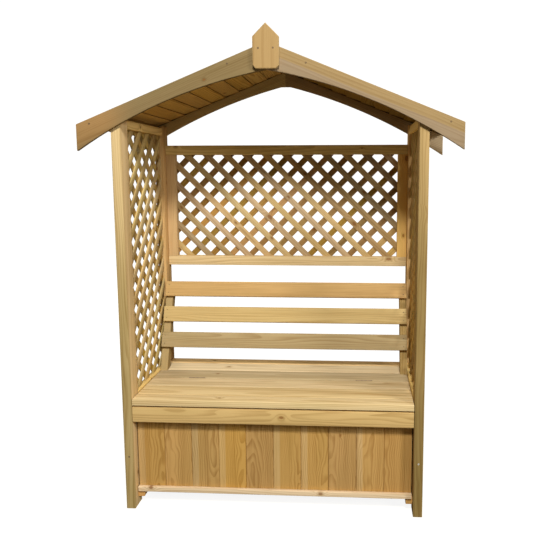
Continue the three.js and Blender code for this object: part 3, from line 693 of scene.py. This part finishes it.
def trellis(name, node, width, height, hole, first_lean, near, basis, origin, material):
    """Two layers of laths, stapled through: the layer on n = 0 leans one way and the next the other. near is
    the layer that the sitter sees, given paler tones as painted light, while the other layer's darker tones
    are painted shade."""
    s = sizes()
    piece = Piece(name)
    for layer, lean in ((0, first_lean), (1, -first_lean)):
        for number, foot in enumerate(lath_lines(width, height, hole, lean)):
            made = lath_rings(width, height, foot, lean)
            if made is None:
                continue
            rings = made[0] + [0, 0, layer * (s.lath_thick - s.lath_bed)]
            key = f"{name}{layer}{number}"
            tone = chance(key) * (0.6, 0.8, 0.5)
            # painted light: the near layer's tones are raised, and the far layer keeps darker tones as
            # painted shade
            if layer == near:
                tone += (0.4, 0.2, 0.6)
            piece.add(rings, basis, origin, made[1], tone, key)
    piece.make(material, "arbour", [node], "trellis_wood")


def tongued_wall(name, node, count, cover_axis, face, run_axis, material):
    """Tongued and grooved boards side by side: every board is a rectangle whose two face corners are planed
    off to half of a V joint, carried along the run."""
    s = sizes()
    low, high = corners(node)
    size = high - low
    c_i, r_i = "xyz".index(cover_axis), "xyz".index(run_axis)
    t_i = 3 - c_i - r_i
    cover, thick, run = size[c_i] / count, size[t_i], size[r_i]
    basis = np.zeros((3, 3))
    basis[2, r_i] = 1
    basis[1, t_i] = face
    basis[0] = np.cross(basis[1], basis[2])
    half = cover / 2 - s.tongue_play
    flat, shoulder = half - s.joint_half, thick / 2 - s.joint_depth
    outline = [(-half, -thick / 2), (half, -thick / 2), (half, shoulder),
               (flat, thick / 2), (-flat, thick / 2), (-half, shoulder)]
    rings = plate_rings(outline, run, s.saw_ease)
    piece = Piece(name)
    for i in range(count):
        origin = (low + high) / 2
        origin[r_i] = low[r_i]
        origin[c_i] = low[c_i] + (i + 0.5) * cover
        piece.add(rings, basis, origin, key=f"{name}{i}")
    piece.make(material, "arbour", [node], "cladding_wood")


def make_side_frames():
    """Rails: board_rings. Trellis: lath_rings. Boarding: tongued_wall."""
    c = colours()
    rail = softwood("Side rail wood", c.rail, stain_share=0.25)
    wall = softwood("Side cladding wood", c.cladding, stain_share=0.25, spread=0.2,
                    sap=(1, 0.03, (1.1, 1.2, 1.4)))
    for side, hand in HANDS:
        timber(f"side_top_rail_{hand}", "y", rail)
        timber(f"side_mid_rail_{hand}", "y", rail)
        # each side's own lath colour paints the light on the left laths and the shade on the right ones
        lath = softwood(f"Side lath wood {hand}", getattr(c, f"lath_{hand}"), knots=0.25, contrast=0.4,
                        spread=0.7)
        low, high = corners(f"side_trellis_{hand}")
        basis = ((0, side, 0), (0, 0, 1), (side, 0, 0))
        start = (low[0], low[1], low[2]) if side > 0 else (high[0], high[1], low[2])
        trellis(f"side_laths_{hand}", f"side_trellis_{hand}", high[1] - low[1], high[2] - low[2],
                hole=(0.977, 0.63), first_lean=-1, near=0, basis=basis, origin=start, material=lath)
        tongued_wall(f"side_boards_{hand}", f"side_cladding_{hand}", 4, "y", side, "z", wall)


def make_back_panel():
    """Rails and stiles: board_rings. Trellis: lath_rings."""
    c = colours()
    lath = softwood("Back lath wood", c.lath_back, stain_share=0.4, knots=0.25, contrast=0.4, spread=0.9)
    timber("back_top_rail", "x", softwood("Back frame wood", c.frame_wood, stain_share=0.4))
    timber("back_bottom_rail", "x", softwood("Back lower rail wood", c.lower_rail, stain_share=0.2))
    # the two stiles' own colours paint the light on the left stile and the shade on the right one
    timber("back_stile_left", "z", softwood("Back stile wood left", c.stile))
    timber("back_stile_right", "z", softwood("Back stile wood right", c.stile_right))
    low, high = corners("back_trellis")
    trellis("back_laths", "back_trellis", high[0] - low[0], high[2] - low[2],
            hole=(0.639, 0.474), first_lean=1, near=1, basis=FACING_FRONT, origin=(low[0], high[1], low[2]),
            material=lath)


def make_box():
    """Boarding and floor: tongued_wall. Rails and bearers: board_rings."""
    c = colours()
    wall = softwood("Front cladding wood", c.cladding, stain_share=0.35, knots=0.12, contrast=0.5, spread=0.2,
                    figure=0.4, streaks=1.2, sap=(1, 0.027, (1.1, 1.22, 1.6)))
    hidden = softwood("Box rail wood", c.rail)
    tongued_wall("box_front_tongued", "box_front_boards", 10, "x", -1, "z", wall)
    tongued_wall("box_rear_tongued", "box_rear_boards", 10, "x", 1, "z", wall)
    tongued_wall("box_floor_tongued", "box_floor", 5, "y", 1, "x", wall)
    timber("box_front_top_rail", "x", hidden)
    timber("box_front_rail", "x", softwood("Foot rail wood", c.foot), slot="apron_wood")
    timber("hinge_rail", "x", hidden)
    timber("box_rear_top_rail", "x", hidden)
    for _, hand in HANDS:
        timber(f"floor_bearer_{hand}", "y", softwood("Bearer wood", c.bearer), slot="bearer_wood")
        timber(f"seat_bearer_{hand}", "y", hidden)


def eased_copy(node, material, body, grain):
    """A CAD node's own solid with its doubles merged and its edges eased."""
    merged_under, flat_under, ease = 1e-5, 0.02, 0.0015
    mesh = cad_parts[node].data.copy()
    work = bmesh.new()
    work.from_mesh(mesh)
    bmesh.ops.remove_doubles(work, verts=work.verts, dist=merged_under)
    bmesh.ops.dissolve_limit(work, angle_limit=flat_under, verts=work.verts, edges=work.edges)
    bmesh.ops.bevel(work, geom=work.edges, offset=ease, segments=2, affect="EDGES", profile=0.5)
    work.to_mesh(mesh)
    work.free()
    points = np.zeros(len(mesh.vertices) * 3)
    mesh.vertices.foreach_get("co", points)
    points = points.reshape(-1, 3)
    order = {"x": (1, 2, 0), "y": (2, 0, 1)}[grain]
    write_values(mesh, "grain", (points - (points.min(0) + points.max(0)) / 2)[:, order])
    write_values(mesh, "board", np.tile(chance(node), (len(points), 1)))
    settle(node + "_eased", mesh, material, body, [node])


def make_seat():
    """Seat boards and apron: board_rings. Battens: their own solids, eased."""
    c = colours()
    seat = softwood("Seat wood", c.seat, knots=0.08, ring=0.008, spread=0.5, streaks=1.7)
    # rear_seat_board_3's high, warm tone is painted light that lifts the shade falling on it under the
    # backrest
    looks = {"lid_nosing": (0.55, 0.6, 0.3), "lid_board_front": (0.5, 0.6, 0.2),
             "lid_board_rear": (0.45, 0.4, 0.6), "rear_seat_board_1": (0.0, 0.4, 0.6),
             "rear_seat_board_2": (0.9, 0.3, 0.9), "rear_seat_board_3": (1.3, 0.2, 0.0)}
    arris = sizes().seat_arris
    for node, look in looks.items():
        timber(node, "x", seat, "lid" if node.startswith("lid") else "arbour", "seat_wood", arris, tone=look)
    apron = softwood("Apron wood", c.apron, stain_share=0.2)
    timber("seat_apron", "x", apron, slot="apron_wood", arris=arris)
    for _, hand in HANDS:
        eased_copy(f"lid_batten_{hand}", softwood("Lid batten wood", c.rail), "lid", "y")


def leaning_frame():
    """The ways out of the back and up the slope of the backrest, and its foot."""
    s = sizes()
    up = np.array([0, math.sin(s.recline), math.cos(s.recline)])
    back = np.array([0, math.cos(s.recline), -math.sin(s.recline)])
    foot = np.array([0, FRONT_PLANE + s.foot_back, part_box("lid_nosing")[1][2] + GAP])
    return back, up, foot


def slat_middle(i):
    """How far up the slope the middle of a slat is, counted from the lowest."""
    s = sizes()
    return s.slat_first + i * s.slat_pitch + s.slat_width / 2


def make_backrest():
    """Slats: rounded boards laid across the leaning supports. Supports: a leaning outline with a level foot
    and a heel bent on a quadratic curve, carried across the support's thickness."""
    s, c = sizes(), colours()
    back, up, foot = leaning_frame()
    along = np.array([1, 0, 0])
    for i, place in enumerate(("lower", "middle", "upper")):
        node = f"back_slat_{place}"
        low, high = corners(node)
        rings = board_rings(s.slat_width, s.slat_thick, high[0] - low[0])
        origin = foot + up * slat_middle(i) - back * (s.slat_thick / 2 + GAP) + along * low[0]
        wood = softwood(f"Slat wood {place}", getattr(c, f"slat_{place}"), contrast=0.4, knots=0.04)
        slat = Piece(node + "_timber").add(rings, (up, np.cross(along, up), along), origin)
        slat.make(wood, "arbour", [node], "slat_wood")
    lean_cos, lean_sin = math.cos(s.recline), math.sin(s.recline)
    depth, end = s.support_depth, s.support_length
    first = np.array([s.heel_flat * lean_cos, s.heel_flat * lean_sin])
    corner = np.array([depth, depth * math.tan(s.recline)])
    last = np.array([depth, (s.heel_rise + depth * lean_sin) / lean_cos])
    t = np.linspace(0, 1, 7)[:, None]
    heel = (1 - t) ** 2 * first + 2 * t * (1 - t) * corner + t ** 2 * last
    outline = np.concatenate([[[0, 0]], heel, [[depth, end], [0, end]]])
    for _, hand in HANDS:
        node = f"back_support_{hand}"
        low, high = corners(node)
        rings = plate_rings(outline, high[0] - low[0], ease=0.002)
        grain = turned_grain(rings) - (depth / 2, 0, 0)
        support = Piece(node + "_timber").add(rings, (back, up, along), foot + along * low[0], grain)
        support.make(softwood("Support wood", c.support), "arbour", [node], "frame_wood")


def arc(start, end, rise, steps):
    """Points of the circle through two points that bulges to the left by the rise."""
    start, end = np.array(start, float), np.array(end, float)
    chord = np.linalg.norm(end - start)
    radius = chord * chord / (8 * rise) + rise / 2
    half = math.asin(chord / 2 / radius)
    turn = half * np.linspace(-1, 1, steps + 1)[:, None]
    way = (end - start) / chord
    left = np.array([-way[1], way[0]])
    return start + way * (chord / 2 + radius * np.sin(turn)) + left * radius * (np.cos(turn) - math.cos(half))


def arched_board(node, side, apex, depths, flat, material, slot, **more):
    """Half of a gable: at every station along x the section is a rounded rectangle from the arch below to
    the straight slope above. Two stations close to the ends, at these shares of the first and the last
    step, keep the shading of the ends flat."""
    near_start, near_end = 0.02, 0.05
    s = sizes()
    low, high = corners(node)
    slope = math.tan(s.pitch)
    eave_depth, apex_depth, rise = depths
    mitre = GAP / 2
    start = max(flat, mitre)
    under = arc((start, apex - apex_depth), (s.half_roof, apex - s.half_roof * slope - eave_depth), rise, 40)
    if start > mitre:
        under = np.concatenate([[[mitre, apex - apex_depth]], under])
    after = under[0] + (under[1] - under[0]) * near_start
    before = under[-1] + (under[-2] - under[-1]) * near_end
    under = np.concatenate([under[:1], [after], under[1:-1], [before], under[-1:]])
    x, bottom = under.T
    top = apex - x * slope
    draw = np.zeros(len(x))
    draw[[0, -1]] = s.end_ease
    section = rounded_section((top - bottom) / 2 - draw, (high[1] - low[1]) / 2 - draw, s.arris)
    z = section[..., 0] + ((top + bottom) / 2)[:, None]
    y = section[..., 1]
    x = np.broadcast_to(x[:, None], z.shape)
    cos, sin, across_shift = math.cos(s.pitch), math.sin(s.pitch), 0.05
    grain = np.stack([(z - apex) * cos + x * sin + across_shift, y, x * cos - (z - apex) * sin], axis=-1)
    along, up = np.array([side, 0, 0]), np.array([0, 0, 1])
    basis = (up, np.cross(along, up), along)
    board = Piece(node + "_sawn")
    board.add(np.stack([z, y, x], axis=-1), basis, (0, (low[1] + high[1]) / 2, 0), grain, **more)
    board.make(material, "arbour", [node], slot)


def make_gables():
    """Barge boards and rear arches: arched_board. Finial: a plate pointed at 45 degrees, its lower corners
    cut off. Rafters: their own solids, eased."""
    s, c = sizes(), colours()
    barges = (softwood("Barge wood left", c.barge_left, stain_share=0.6, contrast=0.25,
                       ruddy=(0.6, (1.45, 1.2, 1.05))),
              softwood("Barge wood right", c.barge_right, stain_share=0.15, knots=0.0, contrast=0.3,
                       sap=(-1, -0.014, (0.98, 1.05, 1.4))))
    # painted sunlight on the rear arches' outer ends, which reach out past the roof's shade into the low side
    # light
    painted_sunlit_ends = ((1.2, 1.3, 1.5), (2.2, 2.6, 3.4))
    slides = (0.0, 0.1)
    for i, (side, hand) in enumerate(HANDS):
        arched_board(f"barge_board_{hand}", side, s.barge_apex, s.barge_depths, 0.0, barges[i], "barge_wood",
                     tone=(0.5, 0.6, 0.5), slide=slides[i])
        # each arch's own colour paints the light on the left arch and the shade on the right one
        arch = softwood(f"Rear arch wood {hand}", getattr(c, f"arch_{hand}"), stain_share=0.2,
                        ruddy=(0.62, painted_sunlit_ends[i]))
        arched_board(f"rear_arch_{hand}", side, s.bed_apex - GAP, s.arch_depths, s.arch_flat, arch,
                     "arch_wood", slide=0.0)
        eased_copy(f"front_rafter_{hand}", softwood("Rafter wood", c.rail), "arbour", "x")
    low, high = corners("finial_plate")
    half, tall, cut = (high[0] - low[0]) / 2, high[2] - low[2], 0.012
    outline = [(-half + cut, 0), (half - cut, 0), (half, cut), (half, tall - half),
               (0, tall), (-half, tall - half), (-half, cut)]
    rings = plate_rings(outline, high[1] - low[1], s.arris)
    finial = Piece("finial_plate_sawn").add(rings, FACING_FRONT, (0, high[1], low[2]), turned_grain(rings))
    wood = softwood("Finial wood", c.finial, stain_share=0.15, contrast=0.22, ring=0.009, knots=0.05)
    finial.make(wood, "arbour", ["finial_plate"], "barge_wood")


def shaded_rear_ends(rings, reach, turned):
    """Adds two rings inside a board's rear end, between which painted shade darkens the underside. The mark
    is full for two thirds of the reach and gone at the whole reach, on the underside alone, and faint on the
    sawn ends.
    turned says that the board's own z runs from back to front."""
    low, high = rings[0, 0, 2], rings[-1, 0, 2]
    places = (low + reach * 2 / 3, low + reach) if turned else (high - reach, high - reach * 2 / 3)
    extra = np.repeat(rings[1:2], 2, axis=0)
    extra[..., 2] = np.array(places)[:, None]
    rings = np.concatenate([rings[:2], extra, rings[2:]])
    marks = np.zeros(rings.shape[:2])
    faint = 0.25
    marks[(1, 2) if turned else (3, 4), :2] = 1.0
    marks[[0, -1]] = faint
    return rings, marks


def make_roof():
    """Featheredge boards: each is a wedge in the roof's section, between its own foot line and the line of
    its face, carried from the front of the roof to its back."""
    s, c = sizes(), colours()
    thick, thin = s.board_edges
    taper = (thick - thin) / s.board_width
    lap = s.board_width - s.board_exposure
    lift = (thin + taper * lap) / s.board_exposure
    reach = (s.half_roof - s.eave_short) / math.cos(s.pitch)
    starts = np.arange(s.first_step - s.board_exposure, reach - lap, s.board_exposure)
    cos, sin = math.cos(s.pitch), math.sin(s.pitch)
    # underside tints: painted light on the left slope's underside and painted shade on the right slope's
    underside_light_and_shade = ((1.5, 1.42, 1.2), (0.7, 0.62, 0.42))
    for (side, hand), underside in zip(HANDS, underside_light_and_shade):
        # the near-black end tint, over the rear stretch of each board's underside, paints the shade in the
        # gaps above the rear arches
        wood = softwood(f"Roof board wood {hand}", c.roof, stain_share=0.2, knots=0.2, spread=0.16,
                        contrast=0.6, sawn=(0.12, 0.07, 0.02), under=(0.001, underside))
        node = f"roof_boards_{hand}"
        low, high = corners(node)
        piece = Piece(f"featheredge_{hand}")
        down, out = np.array([side * cos, 0, -sin]), np.array([side * sin, 0, cos])
        along = np.cross(down, out)
        turned = along[1] < 0
        front, run = high[1] if turned else low[1], high[1] - low[1]
        for i, start in enumerate(starts):
            a, b = max(start, GAP), min(start + s.board_width, reach)
            lower = [(a, lift * (a - start)), (b, lift * (b - start))]
            upper = [(b, (lift + taper) * (b - start) + thin), (a, (lift + taper) * (a - start) + thin)]
            rings, marks = shaded_rear_ends(plate_rings(lower + upper, run, s.saw_ease), s.rear_shade_reach, turned)
            across, face, length_along = np.moveaxis(rings, -1, 0)
            grain = np.stack([across - (a + b) / 2, face - lift * (across - start), length_along], axis=-1)
            piece.add(rings, (down, out, along), (0, front, s.bed_apex), grain, key=f"{node}{i}", marks=marks)
        piece.make(wood, "arbour", [node], "roof_wood")
    eased_copy("ridge_cap", softwood("Ridge wood", c.barge_right), "arbour", "y")


def make_hinges():
    """The hinge leaves keep their own solids and only get their material."""
    plated = steel("Zinc-plated steel", colours().zinc, 0.6)
    for leaf in ("fixed", "moving"):
        for _, hand in HANDS:
            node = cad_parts[f"hinge_{leaf}_leaf_{hand}"]
            node.data.materials.clear()
            node.data.materials.append(plated)


def head_rings(radius):
    """A screw head: a circle carried along a profile that rises from inside the wood over the rim to the flat
    top and sinks into the driver's recess."""
    profile = radius * np.array(
        [(0.6, -0.9), (1.0, -0.9), (1.0, 0.05), (0.9, 0.14), (0.45, 0.16), (0.32, -0.1)])
    turn = np.linspace(0, 2 * np.pi, 12, endpoint=False)
    circle = np.stack([np.cos(turn), np.sin(turn)], axis=-1)
    flat = profile[:, :1, None] * circle
    return np.concatenate([flat, np.broadcast_to(profile[:, 1, None, None], flat.shape[:2] + (1,))], axis=-1)


def screws(name, spots, out, material=None, share=1.0):
    """Screw heads at the given spots, all facing one way. share is their size beside the gables' screws."""
    rings = head_rings(sizes().screw_head * share)
    out = np.array(out, float)
    across = np.cross(out, (0, 1, 0) if abs(out[1]) < 0.9 else (1, 0, 0))
    across = across / np.linalg.norm(across)
    piece = Piece(name)
    for spot in spots:
        piece.add(rings, (across, np.cross(out, across), out), spot)
    piece.make(material or steel("Coated steel", colours().coated, 0.3))


def make_fixings():
    """Screws of the gables, the posts and the slats: head_rings."""
    s = sizes()
    front = (0, -1, 0)
    plate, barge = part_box("finial_plate"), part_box("barge_board_right")
    finial_places, finial_up, barge_places, post_up = (-0.028, 0.028), 0.075, (0.15, 0.697), 0.23
    screws("finial_screws", [(x, plate[0][1], plate[0][2] + finial_up) for x in finial_places], front)
    height = s.barge_apex - s.screw_inset
    screws("barge_screws", [(side * x, barge[0][1], height - x * math.tan(s.pitch))
                            for side, _ in HANDS for x in barge_places], front)
    post = sum(corners("front_post_right"))[0] / 2
    screws("post_screw_left", [(-post, FRONT_PLANE, post_up)], front)
    bright = steel("Bright zinc", (0.86, 0.86, 0.85), 0.1)
    screws("post_screw_right", [(post, FRONT_PLANE, post_up)], front, bright)
    back, up, foot = leaning_frame()
    face = foot - back * (s.slat_thick + GAP)
    spots = [face + (sum(corners(f"back_support_{hand}"))[0] / 2, 0, 0) + up * (slat_middle(i) + step)
             for _, hand in HANDS for i in range(3) for step in (-s.screw_pair, s.screw_pair)]
    screws("slat_screws", spots, -back, share=0.62)


# Stage

def seen_straight(g):
    """1 for what the camera, a gloss or a glass sees, and 0 for the light that falls on the arbour."""
    path = g.node("ShaderNodeLightPath").outputs
    through = g.plus(path["Is Glossy Ray"], path["Is Transmission Ray"])
    return g.math("ADD", path["Is Camera Ray"], through, clamp=True)


def studio_white():
    """A pale floor that a camera sees as white, a little greyer under the arbour and where shadow falls."""
    material = bpy.data.materials.new("Studio floor")
    g = emptied(material)
    matt = g.node("ShaderNodeBsdfDiffuse")
    matt.inputs["Color"].default_value = linear(colours().floor)
    glow = g.node("ShaderNodeEmission")
    # painted shade: the glow is dimmer near the arbour, so the floor reads greyer round it
    brightness = g.ramp(g.vector("LENGTH", g.place()), 0.7, 2.2, 0.9, 1.0)
    g.feed(glow.inputs["Strength"], g.times(seen_straight(g), brightness))
    both = g.node("ShaderNodeAddShader")
    g.feed(both.inputs[0], matt.outputs[0])
    g.feed(both.inputs[1], glow.outputs[0])
    g.show(both)
    return material


def lamp(name, place, target, size, power, glow):
    data = bpy.data.lights.new(name, "AREA")
    data.shape, data.size, data.energy, data.color = "DISK", size, power, glow
    made = in_scene(name, data)
    made.location = place
    made.rotation_euler = (Vector(target) - Vector(place)).to_track_quat("-Z", "Y").to_euler()


def make_stage():
    """Floor: a flat sheet that bends up into a wall far behind on a quarter circle."""
    near, flat, radius, wall, half = -14.0, 5.0, 3.0, 8.0, 16.0
    turn = np.linspace(0, np.pi / 2, 17)
    y = np.concatenate([[near], flat + radius * np.sin(turn), [flat + radius]])
    z = np.concatenate([[0.0], radius * (1 - np.cos(turn)), [wall]])
    n = len(y)
    points = np.stack([np.repeat([-half, half], n), np.tile(y, 2), np.tile(z, 2)], axis=1)
    low = np.arange(n - 1)
    faces = np.stack([low, low + n, low + n + 1, low + 1], axis=1)
    mesh = bpy.data.meshes.new("studio_floor")
    mesh.from_pydata(points, [], faces.tolist())
    mesh.shade_smooth()
    mesh.materials.append(studio_white())
    floor = in_scene("studio_floor", mesh)
    lamp("main_lamp", (0.5, FRONT_PLANE - 3.5, 4.3), (0, 0, 0.8), size=0.8, power=245, glow=(1, 0.99, 0.97))
    lamp("side_lamp", (5.4, FRONT_PLANE - 4.5, 3.8), (0, 0, 0.9), size=1.8, power=215, glow=(1, 0.985, 0.96))
    lamp("rear_lamp", (-3.0, 5.2, 3.2), (0, 0, 0.9), size=2.0, power=110, glow=(1, 0.97, 0.92))
    world = bpy.data.worlds.new("Studio")
    g = emptied(world)
    seen = seen_straight(g)
    sky = g.node("ShaderNodeBackground")
    g.feed(sky.inputs["Color"], g.mix(seen, (1.0, 0.88, 0.66, 1), (1, 1, 1, 1)))
    g.feed(sky.inputs["Strength"], g.ramp(seen, 0.0, 1.0, 0.125, 1.0, smooth=False))
    g.show(sky, "ShaderNodeOutputWorld")
    scene = bpy.context.scene
    scene.world = world
    scene.view_settings.view_transform = "Standard"
    data = bpy.data.cameras.new("photo_camera")
    data.sensor_width, data.lens = 36.0, 41.30
    data.shift_x, data.shift_y = -0.0957, -0.0357
    data.clip_end = 100
    camera = in_scene("photo_camera", data)
    camera.location = (0.35154, FRONT_PLANE - 2.4115, 1.40917)
    camera.rotation_euler = (math.pi / 2 - 0.1257, 0.0016, 0.0594)
    scene.camera = camera


# Add-on

class ARBOUR_OT_posts(bpy.types.Operator):
    """Four posts sawn to the roof's pitch"""

    bl_idname = "arbour.posts"
    bl_label = "Posts"

    def execute(self, context):
        make_posts()
        return {"FINISHED"}


class ARBOUR_OT_side_frames(bpy.types.Operator):
    """Rails, laths and boarding of the two side frames"""

    bl_idname = "arbour.side_frames"
    bl_label = "Side frames"

    def execute(self, context):
        make_side_frames()
        return {"FINISHED"}


class ARBOUR_OT_back_panel(bpy.types.Operator):
    """Framed trellis between the rear posts"""

    bl_idname = "arbour.back_panel"
    bl_label = "Back panel"

    def execute(self, context):
        make_back_panel()
        return {"FINISHED"}


class ARBOUR_OT_box(bpy.types.Operator):
    """Tongued boards, rails, bearers and floor of the box"""

    bl_idname = "arbour.box"
    bl_label = "Storage box"

    def execute(self, context):
        make_box()
        return {"FINISHED"}


class ARBOUR_OT_seat(bpy.types.Operator):
    """Seat boards, hinged lid and apron"""

    bl_idname = "arbour.seat"
    bl_label = "Seat and lid"

    def execute(self, context):
        make_seat()
        return {"FINISHED"}


class ARBOUR_OT_backrest(bpy.types.Operator):
    """Leaning supports and three slats"""

    bl_idname = "arbour.backrest"
    bl_label = "Backrest"

    def execute(self, context):
        make_backrest()
        return {"FINISHED"}


class ARBOUR_OT_gables(bpy.types.Operator):
    """Barge boards, rear arches, rafters and finial"""

    bl_idname = "arbour.gables"
    bl_label = "Gables"

    def execute(self, context):
        make_gables()
        return {"FINISHED"}


class ARBOUR_OT_roof(bpy.types.Operator):
    """Featheredge boards and ridge cap"""

    bl_idname = "arbour.roof"
    bl_label = "Roof"

    def execute(self, context):
        make_roof()
        return {"FINISHED"}


class ARBOUR_OT_hinges(bpy.types.Operator):
    """Plated hinges of the lid"""

    bl_idname = "arbour.hinges"
    bl_label = "Hinges"

    def execute(self, context):
        make_hinges()
        return {"FINISHED"}


class ARBOUR_OT_fixings(bpy.types.Operator):
    """Screws of the gables, posts and slats"""

    bl_idname = "arbour.fixings"
    bl_label = "Fixings"

    def execute(self, context):
        make_fixings()
        return {"FINISHED"}


class ARBOUR_OT_stage(bpy.types.Operator):
    """Floor, backdrop, lamps and camera"""

    bl_idname = "arbour.stage"
    bl_label = "Studio"

    def execute(self, context):
        make_stage()
        return {"FINISHED"}


OPERATORS = (ARBOUR_OT_posts, ARBOUR_OT_side_frames, ARBOUR_OT_back_panel, ARBOUR_OT_box,
             ARBOUR_OT_seat, ARBOUR_OT_backrest, ARBOUR_OT_gables, ARBOUR_OT_roof,
             ARBOUR_OT_hinges, ARBOUR_OT_fixings, ARBOUR_OT_stage)


class ARBOUR_PT_panel(bpy.types.Panel):
    """Lists the arbour's sizes, colours and pieces."""

    bl_idname = "ARBOUR_PT_panel"
    bl_label = "Storage arbour seat"
    bl_space_type = "VIEW_3D"
    bl_region_type = "UI"
    bl_category = "Arbour"

    def draw(self, context):
        column = self.layout.column()
        for step in OPERATORS:
            column.operator(step.bl_idname)
        for group in (context.scene.arbour_sizes, context.scene.arbour_colours):
            for name in group.__annotations__:
                column.prop(group, name)


CLASSES = (ArbourSizes, ArbourColours, *OPERATORS, ARBOUR_PT_panel)


def register():
    for each in CLASSES:
        bpy.utils.register_class(each)
    bpy.types.Scene.arbour_sizes = bpy.props.PointerProperty(type=ArbourSizes)
    bpy.types.Scene.arbour_colours = bpy.props.PointerProperty(type=ArbourColours)


def unregister():
    del bpy.types.Scene.arbour_colours
    del bpy.types.Scene.arbour_sizes
    for each in reversed(CLASSES):
        bpy.utils.unregister_class(each)


def main():
    register()
    bpy.ops.arbour.posts()
    bpy.ops.arbour.side_frames()
    bpy.ops.arbour.back_panel()
    bpy.ops.arbour.box()
    bpy.ops.arbour.seat()
    bpy.ops.arbour.backrest()
    bpy.ops.arbour.gables()
    bpy.ops.arbour.roof()
    bpy.ops.arbour.hinges()
    bpy.ops.arbour.fixings()
    bpy.ops.arbour.stage()


if __name__ == "__main__":
    main()
